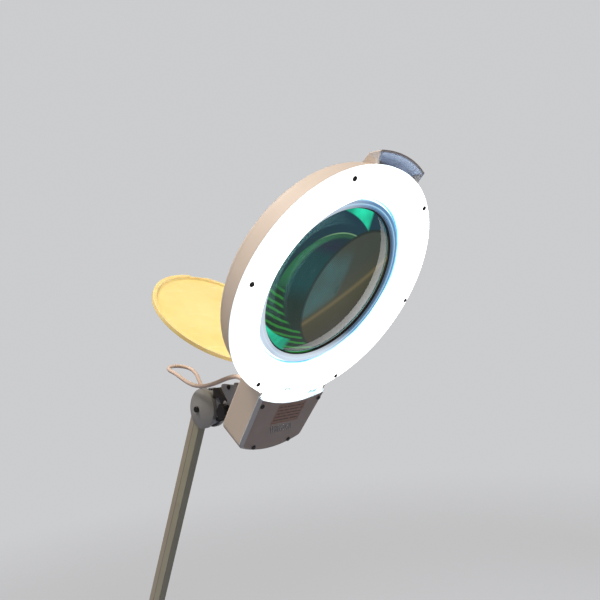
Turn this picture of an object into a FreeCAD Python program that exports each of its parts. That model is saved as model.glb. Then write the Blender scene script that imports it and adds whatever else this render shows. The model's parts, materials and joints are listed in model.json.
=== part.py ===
import FreeCAD, Part
import math
import os

os.makedirs("parts", exist_ok=True)

# Bench magnifying lamp with a ring light on a two-part spring arm.
# Millimetres. +Z is up, +X is the way the lamp reaches and the lens looks,
# the object is laid out about the plane Y = 0, and the origin is the middle of
# the clamp's upper jaw, on the face that rests on the bench top.

V = FreeCAD.Vector
X_AXIS = V(1, 0, 0)
Y_AXIS = V(0, 1, 0)
Z_AXIS = V(0, 0, 1)

# ---------------------------------------------------------------- clearances
RUN = 0.06            # radial running fit of a pin in its bore
SLIDE = 0.3           # gap between sliding or neighbouring faces
SEAT = 0.1            # gap between faces that are bolted together
EDGE = 0.2            # small step that keeps coplanar faces apart
PAST = 1.0            # cuts run past the faces that they open
ARC_PAST = 1.0        # and past the ends of an arc, in degrees

# ---------------------------------------------------------------- bench clamp
PAD_T = 2.0           # rubber pad under the upper jaw
JAW_T = 10.0          # upper jaw plate
JAW_FRONT = 28.0      # reach of the jaw in front of the spindle axis
PAD_EDGE = 2.0        # pad drawn in from the jaw's edges
CLAMP_ROUND = 4.0
JAW_BACK = -28.0      # inner face of the spine
SPINE_T = 10.0
CLAMP_HALF = 20.0     # half width of the clamp
CLAMP_DEPTH = 63.0    # bench top to the top of the lower arm
LOWER_ARM_T = 12.0
LOWER_ARM_FRONT = 16.0
SOCKET_R = 14.0
SOCKET_TOP = 41.5     # top of the socket above the bench
SOCKET_DEPTH = 34.5
BUSH_T = 1.6          # wall of the nylon bush in the socket
SPIGOT_R = 6.0
SCREW_R = 5.0
SCREW_X = 3.0
BENCH_T = 30.0        # bench thickness that the clamp is shown set to
FOOT_R = 15.0
FOOT_T = 4.0
FOOT_CUP = 5.0
FOOT_CUP_R = 8.0
FOOT_LIP = 2.0        # lip of the cup, round the waist of the screw
SCREW_WAIST_R = 4.0
FOOT_TRAVEL = 22.0    # travel either way from the bench thickness shown
SCREW_HEAD_R = 8.0
SCREW_HEAD_T = 14.0
SCREW_SPARE = 11.3    # left between the arm and the screw's head at full travel
SCREW_LENGTH = (CLAMP_DEPTH + LOWER_ARM_T + FOOT_TRAVEL + SCREW_SPARE + SCREW_HEAD_T
                - BENCH_T - FOOT_T - SLIDE)
TOMMY_R = 3.0
TOMMY_LENGTH = 64.0
TOMMY_CAP_R = 4.5
TOMMY_CAP_T = 5.0

# ---------------------------------------------------------------- arms
LOWER_LENGTH = 380.0
LOWER_LEAN = -20.0    # degrees from upright, positive leans forward
LOWER_MID = -15.0     # lean at which the two channels stand furthest apart
UPPER_LENGTH = 380.0
UPPER_LEAN = 28.0
UPPER_MID = 45.0
LINK_GAP = 11.5       # distance between the two pivots of one end
OUTER_HALF = 5.5      # half width of the outer (front) channel
SHEET = 1.0           # channel wall
FRONT_REACH = 4.3     # front pivot to the front face
FRONT_DEPTH = 12.6
REAR_REACH = 8.0      # rear pivot to the rear face
REAR_DEPTH = 13.0
CHANNEL_END = 4.0     # walls run past the pivot by this
CHANNEL_ROUND = 3.5
OPEN_PLAY = 0.15      # extra play at the pivots that carry no load
WEB_BACK = 1.0        # webs stop short of the pivot by this
PIVOT_R = 2.0
LUG_HALF = 3.0        # half thickness of the lug plates inside the channels
LUG_FRONT_R = 3.0
LUG_REAR_R = 4.0
THICK_HALF = 5.9      # half thickness of the solid part of each bracket
ANCHOR_R = 1.5
ANCHOR_ALONG = 230.0  # spring anchor above the lower pivot
ANCHOR_IN = 0.5       # spring anchor behind the front pivot's line
SPRING_R = 2.3        # mean coil radius
SPRING_WIRE = 0.5
SPRING_PITCH = 4.0
SPRING_TAIL = 35.0    # straight wire at each end of the coil
SPRING_PLUG = 5.0     # plug that holds the wire in the coil's end

BASE_PIVOT_Z = 80.7   # middle of the lower arm's base pivots
COLLAR_R = 13.0
COLLAR_T = 8.0
POST_R = 9.0
POST_TOP = 66.0
INLET_R = 3.9
INLET_NECK_R = 3.0
INLET_BORE = 2.4
INLET_T = 1.2
INLET_ALONG = 42.0

# elbow and head-end knuckle
ELBOW_RISE = 27.0     # upper arm's lower pivots above the lower arm's upper ones
ELBOW_SHIFT = 1.0
ELBOW_HUB_BACK = 14.0
ELBOW_HUB_DROP = 13.4
ELBOW_COVER_R = 28.0
ELBOW_HUB_R = 6.0
ELBOW_BOSS = 1.0      # solid boss past the hub
KNUCKLE_COVER_R = 26.1
KNUCKLE_AHEAD = 13.1  # knuckle's bolt in front of the arm's pivots
COVER_INNER = 6.0     # covers start this far from the middle plane
COVER_RIM = 11.0
COVER_TOP = 18.0
COVER_WALL = 2.0
COVER_POST_R = 4.5
BOLT_R = 2.0
BOLT_HEAD_R = 3.8
BOLT_HEAD_T = 2.8
PLATE_R = 23.0
PLATE_BACK = 2.9      # knuckle plate starts this far behind its bolt
THICK_FROM = 5.0      # and is solid from this far ahead of it
CROWN_X = -4.0        # hub over the arm's end, from the knuckle's bolt
CROWN_Z = 15.0
CROWN_R = 6.0
BROW_X = 3.0
BROW_Z = 8.0
EAR_R = 4.4           # eye that holds the lead
EAR_LENGTH = 8.0
COVER_RIB = 14.0      # rib that seats the knuckle's covers
COVER_RIB_HALF = 2.5
COVER_RIB_BACK = 1.0  # rib stops short of the cover's top

# swivel pin, neck and tilt axis, measured from the knuckle's bolt
SWIVEL_AHEAD = 27.0
NECK_PLAY = 1.0       # neck to the notch in the knuckle's covers
NOSE_TOP = 11.7
NOSE_BOTTOM = -12.3
SWIVEL_PIN_R = 4.0
SWIVEL_NUT_R = 7.5
SWIVEL_NUT_T = 5.0
NECK_TOP = 25.2
NECK_R = 8.5
NECK_HALF = 8.5
NECK_ROOF = 3.0       # metal over the swivel pin
NECK_FLANK_X = 0.45   # where the neck's back runs into the eye
NECK_FLANK_Z = 0.893
TILT_AHEAD = 51.5
TILT_DROP = 5.6
NECK_EYE_R = 10.5
TILT_BOLT_R = 3.0
TILT_HEAD_R = 5.5
TILT_HEAD_T = 4.0
CHEEK_T = 2.5
CHEEK_EYE_R = 9.5
KNOB_LOBE_R = 3.2
KNOB_LOBES = 6
KNOB_T = 7.5
KNOB_HUB_R = 8.0
KNOB_LOBE_AT = 7.3
KNOB_STEP = 1.2
KNOB_CAP = 1.5        # blind end of the knob's thread
WASHER_T = 0.9
WASHER_R = 9.0
WASHER_TAB = 13.5
WASHER_TAB_R = 2.5

# ---------------------------------------------------------------- head
# Head frame: x towards the ballast box, y as the object's Y, z out of the
# light side. z = 0 is the front face of the clear cover.
HEAD_TURN = 131.68    # turn of the head about Y at rest
TILT_Z = -71.3        # tilt axis in the head frame
COVER_T = 2.0
COVER_SKIRT = 7.0
COVER_ROUND = 3.5
COVER_WALL_T = 1.5    # slanted inner wall
COVER_INNER_Z = -18.2
COVER_TAB_ANGLE = 21.0
HEAD_BACK = -36.5
SHELL_T = 2.5
SHELL_TAPER = 5.6     # housing's back inside its rim
SHELL_ROUND = 8.0
SLEEVE_T = 3.0
LENS_R = 89.0
LENS_SEAT = 7.5       # lens edge to the sleeve's bore
SLEEVE_R = LENS_R + LENS_SEAT
LENS_CURVE = 380.0
LENS_EDGE_T = 3.0
LENS_EDGE_Z = -21.0   # middle of the lens edge
GASKET_LIP = 1.5
GASKET_OUT = 2.4
GASKET_BITE = 2.0
SEAT_T = 2.2
LENS_RING_T = 2.5
LENS_RING_IN = 1.5    # ring's bore outside the gasket's bore
SAG_AT_LIP = 0.55     # swell of the lens under the gasket's lips
CLIP_LENGTH = 9.0
CLIP_WIDTH = 4.5
CLIP_T = 1.4
CLIP_DROP = 0.5       # ears below the sleeve's top
TUBE_R = 8.0
TUBE_SPACE = 4.5      # tube to the sleeve
TUBE_RING_R = SLEEVE_R + SLEEVE_T + TUBE_SPACE + TUBE_R
TUBE_WALL = 1.0
TUBE_Z = -13.0
TUBE_GAP_ANGLE = 5.0  # half of the gap between the tube's ends
CAP_ANGLE = 9.0       # half of the arc that the end cap covers
CAP_T = 0.9
CAP_FOOT_HALF = 7.0
HOLDER_T = 1.0
HOLDER_WIDTH = 8.0
HOLDER_OPEN = 2.5     # clips reach this far past the tube's middle
REFLECTOR_T = 0.8
REFLECTOR_GAP = 1.1
REFLECTOR_IN = SLEEVE_R + SLEEVE_T + REFLECTOR_GAP
REFLECTOR_HALF = 7.0  # tube's circle to the reflector's rim
REFLECTOR_OUT = TUBE_RING_R + REFLECTOR_HALF
REFLECTOR_RISE = 7.0
REFLECTOR_NOTCH = 17.0
RIM_SPACE = 22.0      # tube's circle to the cover's rim
COVER_R = TUBE_RING_R + RIM_SPACE
COVER_FOOT_IN = 1.7   # foot of the cover's inner wall outside the sleeve's bore
COVER_INNER_R = SLEEVE_R + COVER_FOOT_IN
COVER_FLARE = 7.3     # slant of the inner wall
COVER_FACE_IN = COVER_INNER_R + COVER_FLARE
COVER_TAB = 4.0       # the cover's tab past its rim, beside the ballast box
COVER_TAB_R = COVER_R + COVER_TAB
SHELL_BACK_R = COVER_R - SHELL_TAPER
SCREW_INSET = 6.7
SCREW_CIRCLE_R = COVER_R - SCREW_INSET
COVER_SCREW_R = 1.4
COVER_SCREW_HEAD_R = 2.6
COVER_SCREW_HEAD_T = 1.2
COVER_SCREW_L = 16.0
BOSS_R = 3.2
GRIP_ANGLE = 16.0
GRIP_REACH = 13.5
GRIP_R = COVER_R + GRIP_REACH
GRIP_T = 2.5
GRIP_FRONT = -5.0
GRIP_EDGE = -17.5      # back edge of the grip's outer wall
GRIP_SLOPE = 6.3       # outer wall drawn in at that edge
GRIP_FOOT = -23.5      # where the grip's back meets the housing
GRIP_ROUND = 1.0

# ballast box
BOX_LAP = 16.0        # the box starts this far inside the cover's rim
BOX_START = COVER_R - BOX_LAP
BOX_TOP_HALF = 54.0
BOX_END_HALF = 49.0
BOX_LENGTH = 63.0     # cover's rim to the corner of the box's end
BOX_SIDE_END = COVER_R + BOX_LENGTH
BOX_NOSE = 12.5       # bow of the box's end
BOX_END = BOX_SIDE_END + BOX_NOSE
BOX_RIM_Z = -1.0
BOX_FACE_Z = 3.5
BOX_T = 2.5
BOX_CORNER = 9.0
NOTCH_Y0 = 22.0       # gap in the ring's wall for the tube's wires
NOTCH_Y1 = 30.0
NOTCH_Z0 = -24.0
NOTCH_Z1 = -12.0
BOX_ROUND = 4.0
BOX_COVER_GAP = 0.8
BOX_COVER_IN = COVER_TAB_R + BOX_COVER_GAP
BOX_BEVEL = 3.4
BOX_COVER_T = 2.2
BOX_SCREW_NEAR = 0.5  # inner screws outside the cover's tab
BOX_SCREW_FAR = 2.0   # outer screws past the corner of the box's end
BOX_SCREW_X = (COVER_TAB_R + BOX_SCREW_NEAR, BOX_SIDE_END + BOX_SCREW_FAR)
BOX_SCREW_Y = (46.0, 28.0)
BOX_SCREW_R = 1.5
BOX_SCREW_HEAD_R = 2.8
BOX_SCREW_HEAD_T = 1.4
BOX_SCREW_L = 14.0
BOX_BOSS_R = 3.6
SLOT_COUNT = 10
SLOT_PITCH = 3.6
SLOT_WIDTH = 1.2
SLOT_LENGTH = 12.0
SLOT_Y = 2.5          # middle of the row of slots
SLOT_LEAN = 30.0
LABEL_EDGE = 1.7      # label to the edge of the box's cover
LABEL_WIDE = 28.0
LABEL_X0 = BOX_COVER_IN + LABEL_EDGE
LABEL_X1 = LABEL_X0 + LABEL_WIDE
SLOT_SPACE = 8.5      # label to the middle of the slots
SLOT_X = LABEL_X1 + SLOT_SPACE
LABEL_Y0 = -19.0
LABEL_Y1 = 26.0
LABEL_T = 0.3

# inside the ballast box
BOARD_IN = 34.0       # from the inner end of the box
BOARD_END = 3.0       # and from the corner of its outer end
BOARD_X0 = BOX_START + BOARD_IN
BOARD_X1 = BOX_SIDE_END - BOARD_END
BOARD_Y0 = -40.0
BOARD_Y1 = 28.0
BOARD_Z = -27.0
BOARD_T = 1.6
STANDOFF_R = 2.6
STANDOFF_IN = 3.4
CHOKE_IN = 8.0
CHOKE_LONG = 26.0
CHOKE_WIDE = 24.0
CHOKE_TALL = 20.0
CAPACITOR_R = 5.0
CAPACITOR_TALL = 15.0
CAPACITOR_IN = 8.0
CAPACITOR_PITCH = 12.0
CAPACITOR_BACK = 20.0
TERMINAL_IN = 10.0
TERMINAL_DEEP = 9.0
TERMINAL_LONG = 20.0
TERMINAL_TALL = 10.0
TERMINAL_WAYS = 4
TERMINAL_HOLE_R = 1.2

# rocker switch, in the back of the ballast box
SWITCH_OUT = 38.0     # from the cover's rim
SWITCH_X = COVER_R + SWITCH_OUT
SWITCH_Y = 38.0
SWITCH_LONG = 19.0
SWITCH_WIDE = 12.8
SWITCH_RIM = 1.2
SWITCH_RIM_T = 1.6
SWITCH_DEEP = 7.0
SWITCH_WALL = 1.2
ROCKER_PLAY = 1.2     # rocker to the wall of its frame, at each end
ROCKER_TILT = 7.0
ROCKER_AXIS_Z = -33.0
ROCKER_PIN_R = 1.0
ROCKER_HUB = 1.0      # wall round the rocker's pin
ROCKER_PIN_IN = 1.0   # pin's hold in each side of the frame
ROCKER_NOSE = 7.6     # axis to the raised end of the rocker
ROCKER_WAIST = 5.9    # axis to the rocker's hollow middle
ROCKER_TOP = 2.0

# bracket on the back of the ballast box
FLANGE_OUT = 15.0     # from the cover's rim
FLANGE_LONG = 54.0
FLANGE_X0 = COVER_R + FLANGE_OUT
FLANGE_X1 = FLANGE_X0 + FLANGE_LONG
FLANGE_HALF = 24.0
FLANGE_SCREW_IN = 7.0
FLANGE_SCREW_END = 6.0
FLANGE_SCREW_X = (FLANGE_X0 + FLANGE_SCREW_IN, FLANGE_X1 - FLANGE_SCREW_END)
TILT_PAST = 9.5       # tilt axis past the bracket's flange
TILT_X = FLANGE_X1 + TILT_PAST
FLANGE_SCREW_Y = 18.0
FLANGE_SCREW_R = 2.0
FLANGE_HEAD_R = 3.6
FLANGE_HEAD_T = 2.2
CHEEK_CORNER_IN = 12.0
CHEEK_CORNER_X = FLANGE_X1 - CHEEK_CORNER_IN
CHEEK_CORNER_Z = -93.0
CHEEK_CORNER_R = 4.0
CHEEK_FOOT_R = 1.0
CHEEK_NOTCH_IN = 13.4  # hollow of the cheek's free edge, from the tilt axis
CHEEK_NOTCH_BACK = 3.1
CHEEK_NOTCH_R = 1.5
CHEEK_TOP_IN = 2.0
CHEEK_TOP_X = FLANGE_X0 + CHEEK_TOP_IN
CHEEK_SCREW_IN = 7.0  # locking screw in the upper corner of each cheek
CHEEK_SCREW_X = CHEEK_CORNER_X - CHEEK_SCREW_IN
CHEEK_SCREW_Z = -84.0
CHEEK_SCREW_R = 2.0
CHEEK_SCREW_HEAD_R = 3.0
CHEEK_SCREW_HEAD_T = 1.6

# lens cover, a round flap hinged in a pocket beside the ballast box
FLAP_OVERLAP = 5.0    # flap past the lens
FLAP_R = LENS_R + FLAP_OVERLAP
FLAP_T = 2.0
FLAP_LIP_W = 4.5
FLAP_LIP_H = 3.0
FLAP_OPEN = 84.5
FLAP_PIN_IN = 4.0     # pin inside the cover's rim
FLAP_PIN_X = COVER_R - FLAP_PIN_IN
FLAP_PIN_Z = -27.0
FLAP_PIN_R = 1.5
FLAP_KNUCKLE_R = 3.2
FLAP_ARM_HALF = 11.0
FLAP_FACE_Z = -36.3   # outer face when closed
FLAP_NOTCH = 26.0
FLAP_NOTCH_Y = 10.0
FLAP_NOTCH_IN = 3.5
POCKET_SIDE = 1.5     # play beside and round the flap's arm
POCKET_NEAR = 9.0     # pocket's ends from the flap's pin
POCKET_FAR = 12.0
POCKET_X0 = FLAP_PIN_X - POCKET_NEAR
POCKET_X1 = FLAP_PIN_X + POCKET_FAR
POCKET_TOP = -22.3
POCKET_WALL = 2.5

# lead between the ballast box and the arm
LEAD_R = 2.6
GLAND_OUT = 8.0       # from the cover's rim
GLAND_X = COVER_R + GLAND_OUT
GLAND_Y = -34.0
GLAND_R = 5.0
GLAND_FLANGE_R = 7.0
GLAND_FLANGE_T = 2.5
GLAND_NOSE = 9.0
GLAND_STEP = 1.0      # nose inside the gland's neck
LEAD_ROUTE = (
    V(184.2, -34, 819.1),
    V(172, -34, 830),
    V(149, -34.5, 829),
    V(121, -31, 824.5),
    V(95, -28.5, 822.5),
    V(70, -26.5, 825),
    V(46, -24, 833),
    V(23, -21.5, 844),
    V(0, -20.5, 852.5),
    V(-10, -9.7, 857.2),
    V(-10, 5.7, 857.2),
    V(0.5, 17.5, 852.2),
    V(17.5, 16, 842),
    V(36, 7, 829),
    V(54, 0, 817),
)


# ---------------------------------------------------------------- helpers
def box(x0, x1, y0, y1, z0, z1):
    return Part.makeBox(x1 - x0, y1 - y0, z1 - z0, V(x0, y0, z0))


def rod(radius, start, end):
    """A cylinder from one point to another."""
    run = end - start
    return Part.makeCylinder(radius, run.Length, start, run)


def pin_y(radius, x, z, y0, y1):
    return Part.makeCylinder(radius, y1 - y0, V(x, y0, z), Y_AXIS)


def pin_z(radius, x, y, z0, z1):
    return Part.makeCylinder(radius, z1 - z0, V(x, y, z0), Z_AXIS)


def join(shapes):
    whole = shapes[0].fuse(list(shapes[1:])) if len(shapes) > 1 else shapes[0]
    return whole.removeSplitter()


def cut(shape, tools):
    return shape.cut(Part.makeCompound(tools)) if len(tools) > 1 else shape.cut(tools[0])


def prism_y(points, y0, y1):
    """A plate: (x, z) corners, as thick as y0 to y1."""
    wire = Part.makePolygon([V(x, y0, z) for x, z in points + points[:1]])
    return Part.Face(wire).extrude(V(0, y1 - y0, 0))


def strap(first, first_r, second, second_r, y0, y1):
    """A plate round two circles, given by (x, z) centres, and their tangents."""
    dx, dz = second[0] - first[0], second[1] - first[1]
    reach = math.hypot(dx, dz)
    along = math.atan2(dz, dx)
    lean = math.acos((first_r - second_r) / reach)
    corners = []
    for centre, radius, side in (
        (first, first_r, 1), (second, second_r, 1),
        (second, second_r, -1), (first, first_r, -1),
    ):
        angle = along + side * lean
        corners.append((centre[0] + radius * math.cos(angle),
                        centre[1] + radius * math.sin(angle)))
    return join([
        prism_y(corners, y0, y1),
        pin_y(first_r, first[0], first[1], y0, y1),
        pin_y(second_r, second[0], second[1], y0, y1),
    ])


def turned(points):
    """A solid turned about Z from corners (r, z)."""
    corners = [V(r, 0, z) for r, z in points + points[:1]]
    return Part.Face(Part.makePolygon(corners)).revolve(V(0, 0, 0), Z_AXIS, 360)


def placed(shape, x=0.0, y=0.0, z=0.0, turn=0.0):
    """A copy turned about Y and then moved."""
    moved = shape.copy()
    step = FreeCAD.Placement(V(x, y, z), FreeCAD.Rotation(Y_AXIS, turn))
    moved.Placement = step.multiply(moved.Placement)
    return moved


def spun(shape, angle):
    """A copy turned about Z."""
    moved = shape.copy()
    moved.rotate(V(0, 0, 0), Z_AXIS, angle)
    return moved


def mirrored(shape):
    return shape.mirror(V(0, 0, 0), Y_AXIS)


def round_edges(shape, radius, wanted):
    return shape.makeFillet(radius, [edge for edge in shape.Edges if wanted(edge)])


def lean_point(origin, lean, along=0.0, ahead=0.0):
    """(x, z) of a point along and in front of a link that leans from upright."""
    a = math.radians(lean)
    return (origin[0] + along * math.sin(a) + ahead * math.cos(a),
            origin[1] + along * math.cos(a) - ahead * math.sin(a))


def offset(point, x, z):
    return (point[0] + x, point[1] + z)


# ---------------------------------------------------------------- layout
BASE_MID = (0.0, BASE_PIVOT_Z)
LOWER_TOP_MID = lean_point(BASE_MID, LOWER_LEAN, along=LOWER_LENGTH)
UPPER_BASE_MID = offset(LOWER_TOP_MID, ELBOW_SHIFT, ELBOW_RISE)
UPPER_TOP_MID = lean_point(UPPER_BASE_MID, UPPER_LEAN, along=UPPER_LENGTH)
ELBOW = offset(UPPER_BASE_MID, -ELBOW_HUB_BACK - ELBOW_SHIFT, -ELBOW_HUB_DROP)
KNUCKLE = lean_point(UPPER_TOP_MID, UPPER_LEAN, ahead=KNUCKLE_AHEAD)
SWIVEL_X = KNUCKLE[0] + SWIVEL_AHEAD
TILT = offset(KNUCKLE, TILT_AHEAD, -TILT_DROP)
HEAD_ANGLE = math.radians(HEAD_TURN)
HEAD = (
    TILT[0] - TILT_X * math.cos(HEAD_ANGLE) - TILT_Z * math.sin(HEAD_ANGLE),
    TILT[1] + TILT_X * math.sin(HEAD_ANGLE) - TILT_Z * math.cos(HEAD_ANGLE),
)


def pivot_pair(middle, mid_lean):
    """Front and rear pivot of one end of a link pair."""
    return (lean_point(middle, mid_lean, ahead=LINK_GAP / 2),
            lean_point(middle, mid_lean, ahead=-LINK_GAP / 2))


BASE_FRONT, BASE_REAR = pivot_pair(BASE_MID, LOWER_MID)
LOWER_TOP_FRONT, LOWER_TOP_REAR = pivot_pair(LOWER_TOP_MID, LOWER_MID)
UPPER_BASE_FRONT, UPPER_BASE_REAR = pivot_pair(UPPER_BASE_MID, UPPER_MID)
UPPER_TOP_FRONT, UPPER_TOP_REAR = pivot_pair(UPPER_TOP_MID, UPPER_MID)


def in_head(shape):
    """Moves a shape from the head frame to its place."""
    return placed(shape, x=HEAD[0], z=HEAD[1], turn=HEAD_TURN)


# ---------------------------------------------------------------- clamp pieces
SOCKET_BORE_R = SPIGOT_R + RUN + BUSH_T
SOCKET_FLOOR = SOCKET_TOP - SOCKET_DEPTH
JAW_TOP = PAD_T + JAW_T
SPINE_X = JAW_BACK - SPINE_T
ARM_BOTTOM = -CLAMP_DEPTH - LOWER_ARM_T
FOOT_BOTTOM = -BENCH_T - FOOT_T
SCREW_TOP = FOOT_BOTTOM - SLIDE
SCREW_BOTTOM = SCREW_TOP - SCREW_LENGTH
TOMMY_Z = SCREW_BOTTOM + SCREW_HEAD_T / 2


def clamp_frame():
    half = CLAMP_HALF
    plates = join([
        box(SPINE_X, JAW_FRONT, -half, half, PAD_T, JAW_TOP),
        box(SPINE_X, JAW_BACK, -half, half, ARM_BOTTOM, JAW_TOP),
        box(SPINE_X, LOWER_ARM_FRONT, -half, half, ARM_BOTTOM, -CLAMP_DEPTH),
    ])
    corners = ((SPINE_X, JAW_TOP), (SPINE_X, ARM_BOTTOM),
               (JAW_FRONT, JAW_TOP), (LOWER_ARM_FRONT, ARM_BOTTOM))
    plates = round_edges(plates, CLAMP_ROUND, lambda edge: at_corner(edge, corners))
    body = join([plates, pin_z(SOCKET_R, 0, 0, PAD_T + EDGE, SOCKET_TOP)])
    return cut(body, [
        pin_z(SOCKET_BORE_R, 0, 0, SOCKET_FLOOR, SOCKET_TOP + PAST),
        pin_z(SCREW_R + RUN, SCREW_X, 0, ARM_BOTTOM - PAST, -CLAMP_DEPTH + PAST),
    ])


def at_corner(edge, corners):
    """True for an edge along Y that stands at one of the (x, z) corners."""
    if len(edge.Vertexes) != 2:
        return False
    first, last = edge.Vertexes[0].Point, edge.Vertexes[1].Point
    if math.hypot(first.x - last.x, first.z - last.z) > 0.001:
        return False
    return any(math.hypot(first.x - x, first.z - z) < 0.01 for x, z in corners)


def jaw_pad():
    half = CLAMP_HALF - PAD_EDGE
    front = JAW_FRONT - PAD_EDGE
    back = JAW_BACK + PAD_EDGE
    return box(back, front, -half, half, 0, PAD_T)


def socket_bush():
    ring = pin_z(SOCKET_BORE_R, 0, 0, SOCKET_FLOOR, SOCKET_TOP)
    return cut(ring, [pin_z(SPIGOT_R + RUN, 0, 0, SOCKET_FLOOR - PAST, SOCKET_TOP + PAST)])


def clamp_foot():
    cup_bottom = FOOT_BOTTOM - FOOT_CUP
    lip_top = cup_bottom + FOOT_LIP
    body = join([
        pin_z(FOOT_R, SCREW_X, 0, FOOT_BOTTOM, -BENCH_T),
        pin_z(FOOT_CUP_R, SCREW_X, 0, cup_bottom, FOOT_BOTTOM),
    ])
    return cut(body, [
        pin_z(SCREW_R + SLIDE, SCREW_X, 0, lip_top, FOOT_BOTTOM),
        pin_z(SCREW_WAIST_R + SLIDE, SCREW_X, 0, cup_bottom - PAST, FOOT_BOTTOM),
    ])


def clamp_screw():
    waist_top = FOOT_BOTTOM - FOOT_CUP + FOOT_LIP + SLIDE
    waist_bottom = FOOT_BOTTOM - FOOT_CUP - SLIDE
    head_top = SCREW_BOTTOM + SCREW_HEAD_T
    body = join([
        pin_z(SCREW_R, SCREW_X, 0, waist_top, SCREW_TOP),
        pin_z(SCREW_WAIST_R, SCREW_X, 0, waist_bottom, waist_top),
        pin_z(SCREW_R, SCREW_X, 0, head_top, waist_bottom),
        pin_z(SCREW_HEAD_R, SCREW_X, 0, SCREW_BOTTOM, head_top),
    ])
    hole_end = SCREW_HEAD_R + PAST
    hole = rod(TOMMY_R + RUN, V(SCREW_X - hole_end, 0, TOMMY_Z),
               V(SCREW_X + hole_end, 0, TOMMY_Z))
    return cut(body, [hole])


def tommy_bar():
    end = TOMMY_LENGTH / 2
    parts = [rod(TOMMY_R, V(SCREW_X - end, 0, TOMMY_Z), V(SCREW_X + end, 0, TOMMY_Z))]
    for side in (-1, 1):
        tip = V(SCREW_X + side * end, 0, TOMMY_Z)
        inner = V(SCREW_X + side * (end - TOMMY_CAP_T), 0, TOMMY_Z)
        parts.append(rod(TOMMY_CAP_R, inner, tip))
    return join(parts)


# ---------------------------------------------------------------- base yoke
def base_yoke():
    collar_bottom = SOCKET_TOP + SLIDE
    spigot_bottom = SOCKET_FLOOR + SLIDE
    back = BASE_REAR[0] - LUG_FRONT_R
    front = BASE_FRONT[0] + LUG_FRONT_R
    plate = prism_y([
        (back, BASE_REAR[1]), (front, BASE_FRONT[1]),
        (front, POST_TOP - PAST), (back, POST_TOP - PAST),
    ], -LUG_HALF, LUG_HALF)
    post = pin_z(POST_R, 0, 0, collar_bottom, POST_TOP)
    side = POST_R + PAST
    slab = box(-side, side, -THICK_HALF, THICK_HALF, collar_bottom + COLLAR_T, POST_TOP)
    body = join([
        pin_z(SPIGOT_R, 0, 0, spigot_bottom, collar_bottom),
        pin_z(COLLAR_R, 0, 0, collar_bottom, collar_bottom + COLLAR_T),
        post.common(join([slab, pin_z(side, 0, 0, collar_bottom, collar_bottom + COLLAR_T)])),
        plate,
        strap(BASE_REAR, LUG_REAR_R, BASE_FRONT, LUG_FRONT_R, -LUG_HALF, LUG_HALF),
    ])
    return cut(body, [
        pin_y(PIVOT_R, BASE_FRONT[0], BASE_FRONT[1], -LUG_HALF, LUG_HALF),
        pin_y(PIVOT_R, BASE_REAR[0], BASE_REAR[1], -LUG_HALF, LUG_HALF),
    ])


def pivot_pins(front, rear):
    """The two pins of one end of a link pair, pressed into its bracket."""
    return Part.makeCompound([
        pin_y(PIVOT_R, front[0], front[1], -THICK_HALF, THICK_HALF),
        pin_y(PIVOT_R, rear[0], rear[1], -REAR_HALF, REAR_HALF),
    ])


# ---------------------------------------------------------------- arm channels
REAR_HALF = OUTER_HALF - SHEET - SLIDE


def channel(length, half, reach, depth, web_ahead, open_end=False):
    """A U channel in its link frame: pivots at z = 0 and z = length."""
    back = reach - depth
    low, high = -CHANNEL_END, length + CHANNEL_END
    wall = box(back, reach, half - SHEET, half, low, high)
    corners = ((back, low), (back, high), (reach, low), (reach, high))
    wall = round_edges(wall, CHANNEL_ROUND, lambda edge: at_corner(edge, corners))
    web_x = reach - SHEET if web_ahead else back
    web = box(web_x, web_x + SHEET, -half, half, WEB_BACK, length - WEB_BACK)
    body = join([wall, mirrored(wall), web])
    top_play = RUN + OPEN_PLAY if open_end else RUN
    return cut(body, [
        pin_y(PIVOT_R + RUN, 0, 0, -half - PAST, half + PAST),
        pin_y(PIVOT_R + top_play, 0, length, -half - PAST, half + PAST),
    ])


def front_channel(length):
    """The outer channel, with the holes for the spring's anchor."""
    body = channel(length, OUTER_HALF, FRONT_REACH, FRONT_DEPTH, True)
    return cut(body, [spring_anchor()])


def rear_channel(length):
    ahead = REAR_DEPTH - REAR_REACH
    return channel(length, REAR_HALF, ahead, REAR_DEPTH, False, open_end=True)


def lower_rear_channel():
    """The lower arm's rear channel, with the hole for the mains inlet."""
    hole = rod(INLET_NECK_R, V(-REAR_REACH - PAST, 0, INLET_ALONG),
               V(SHEET + PAST - REAR_REACH, 0, INLET_ALONG))
    return cut(rear_channel(LOWER_LENGTH), [hole])


def inlet_grommet():
    """Rubber grommet in the lower rear channel's web, in its link frame."""
    outer = V(-REAR_REACH - INLET_T, 0, INLET_ALONG)
    face = V(-REAR_REACH, 0, INLET_ALONG)
    inner = V(SHEET + INLET_T - REAR_REACH, 0, INLET_ALONG)
    body = join([rod(INLET_R, outer, face), rod(INLET_NECK_R, face, inner)])
    return cut(body, [rod(INLET_BORE, outer, inner)])


def on_link(shape, pivot, lean):
    """Moves a shape from a link frame to its place."""
    return placed(shape, x=pivot[0], z=pivot[1], turn=lean)


def spring_anchor():
    """Cross pin of the front channel that the spring pulls on."""
    return pin_y(ANCHOR_R, -ANCHOR_IN, ANCHOR_ALONG, -OUTER_HALF, OUTER_HALF)


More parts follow.
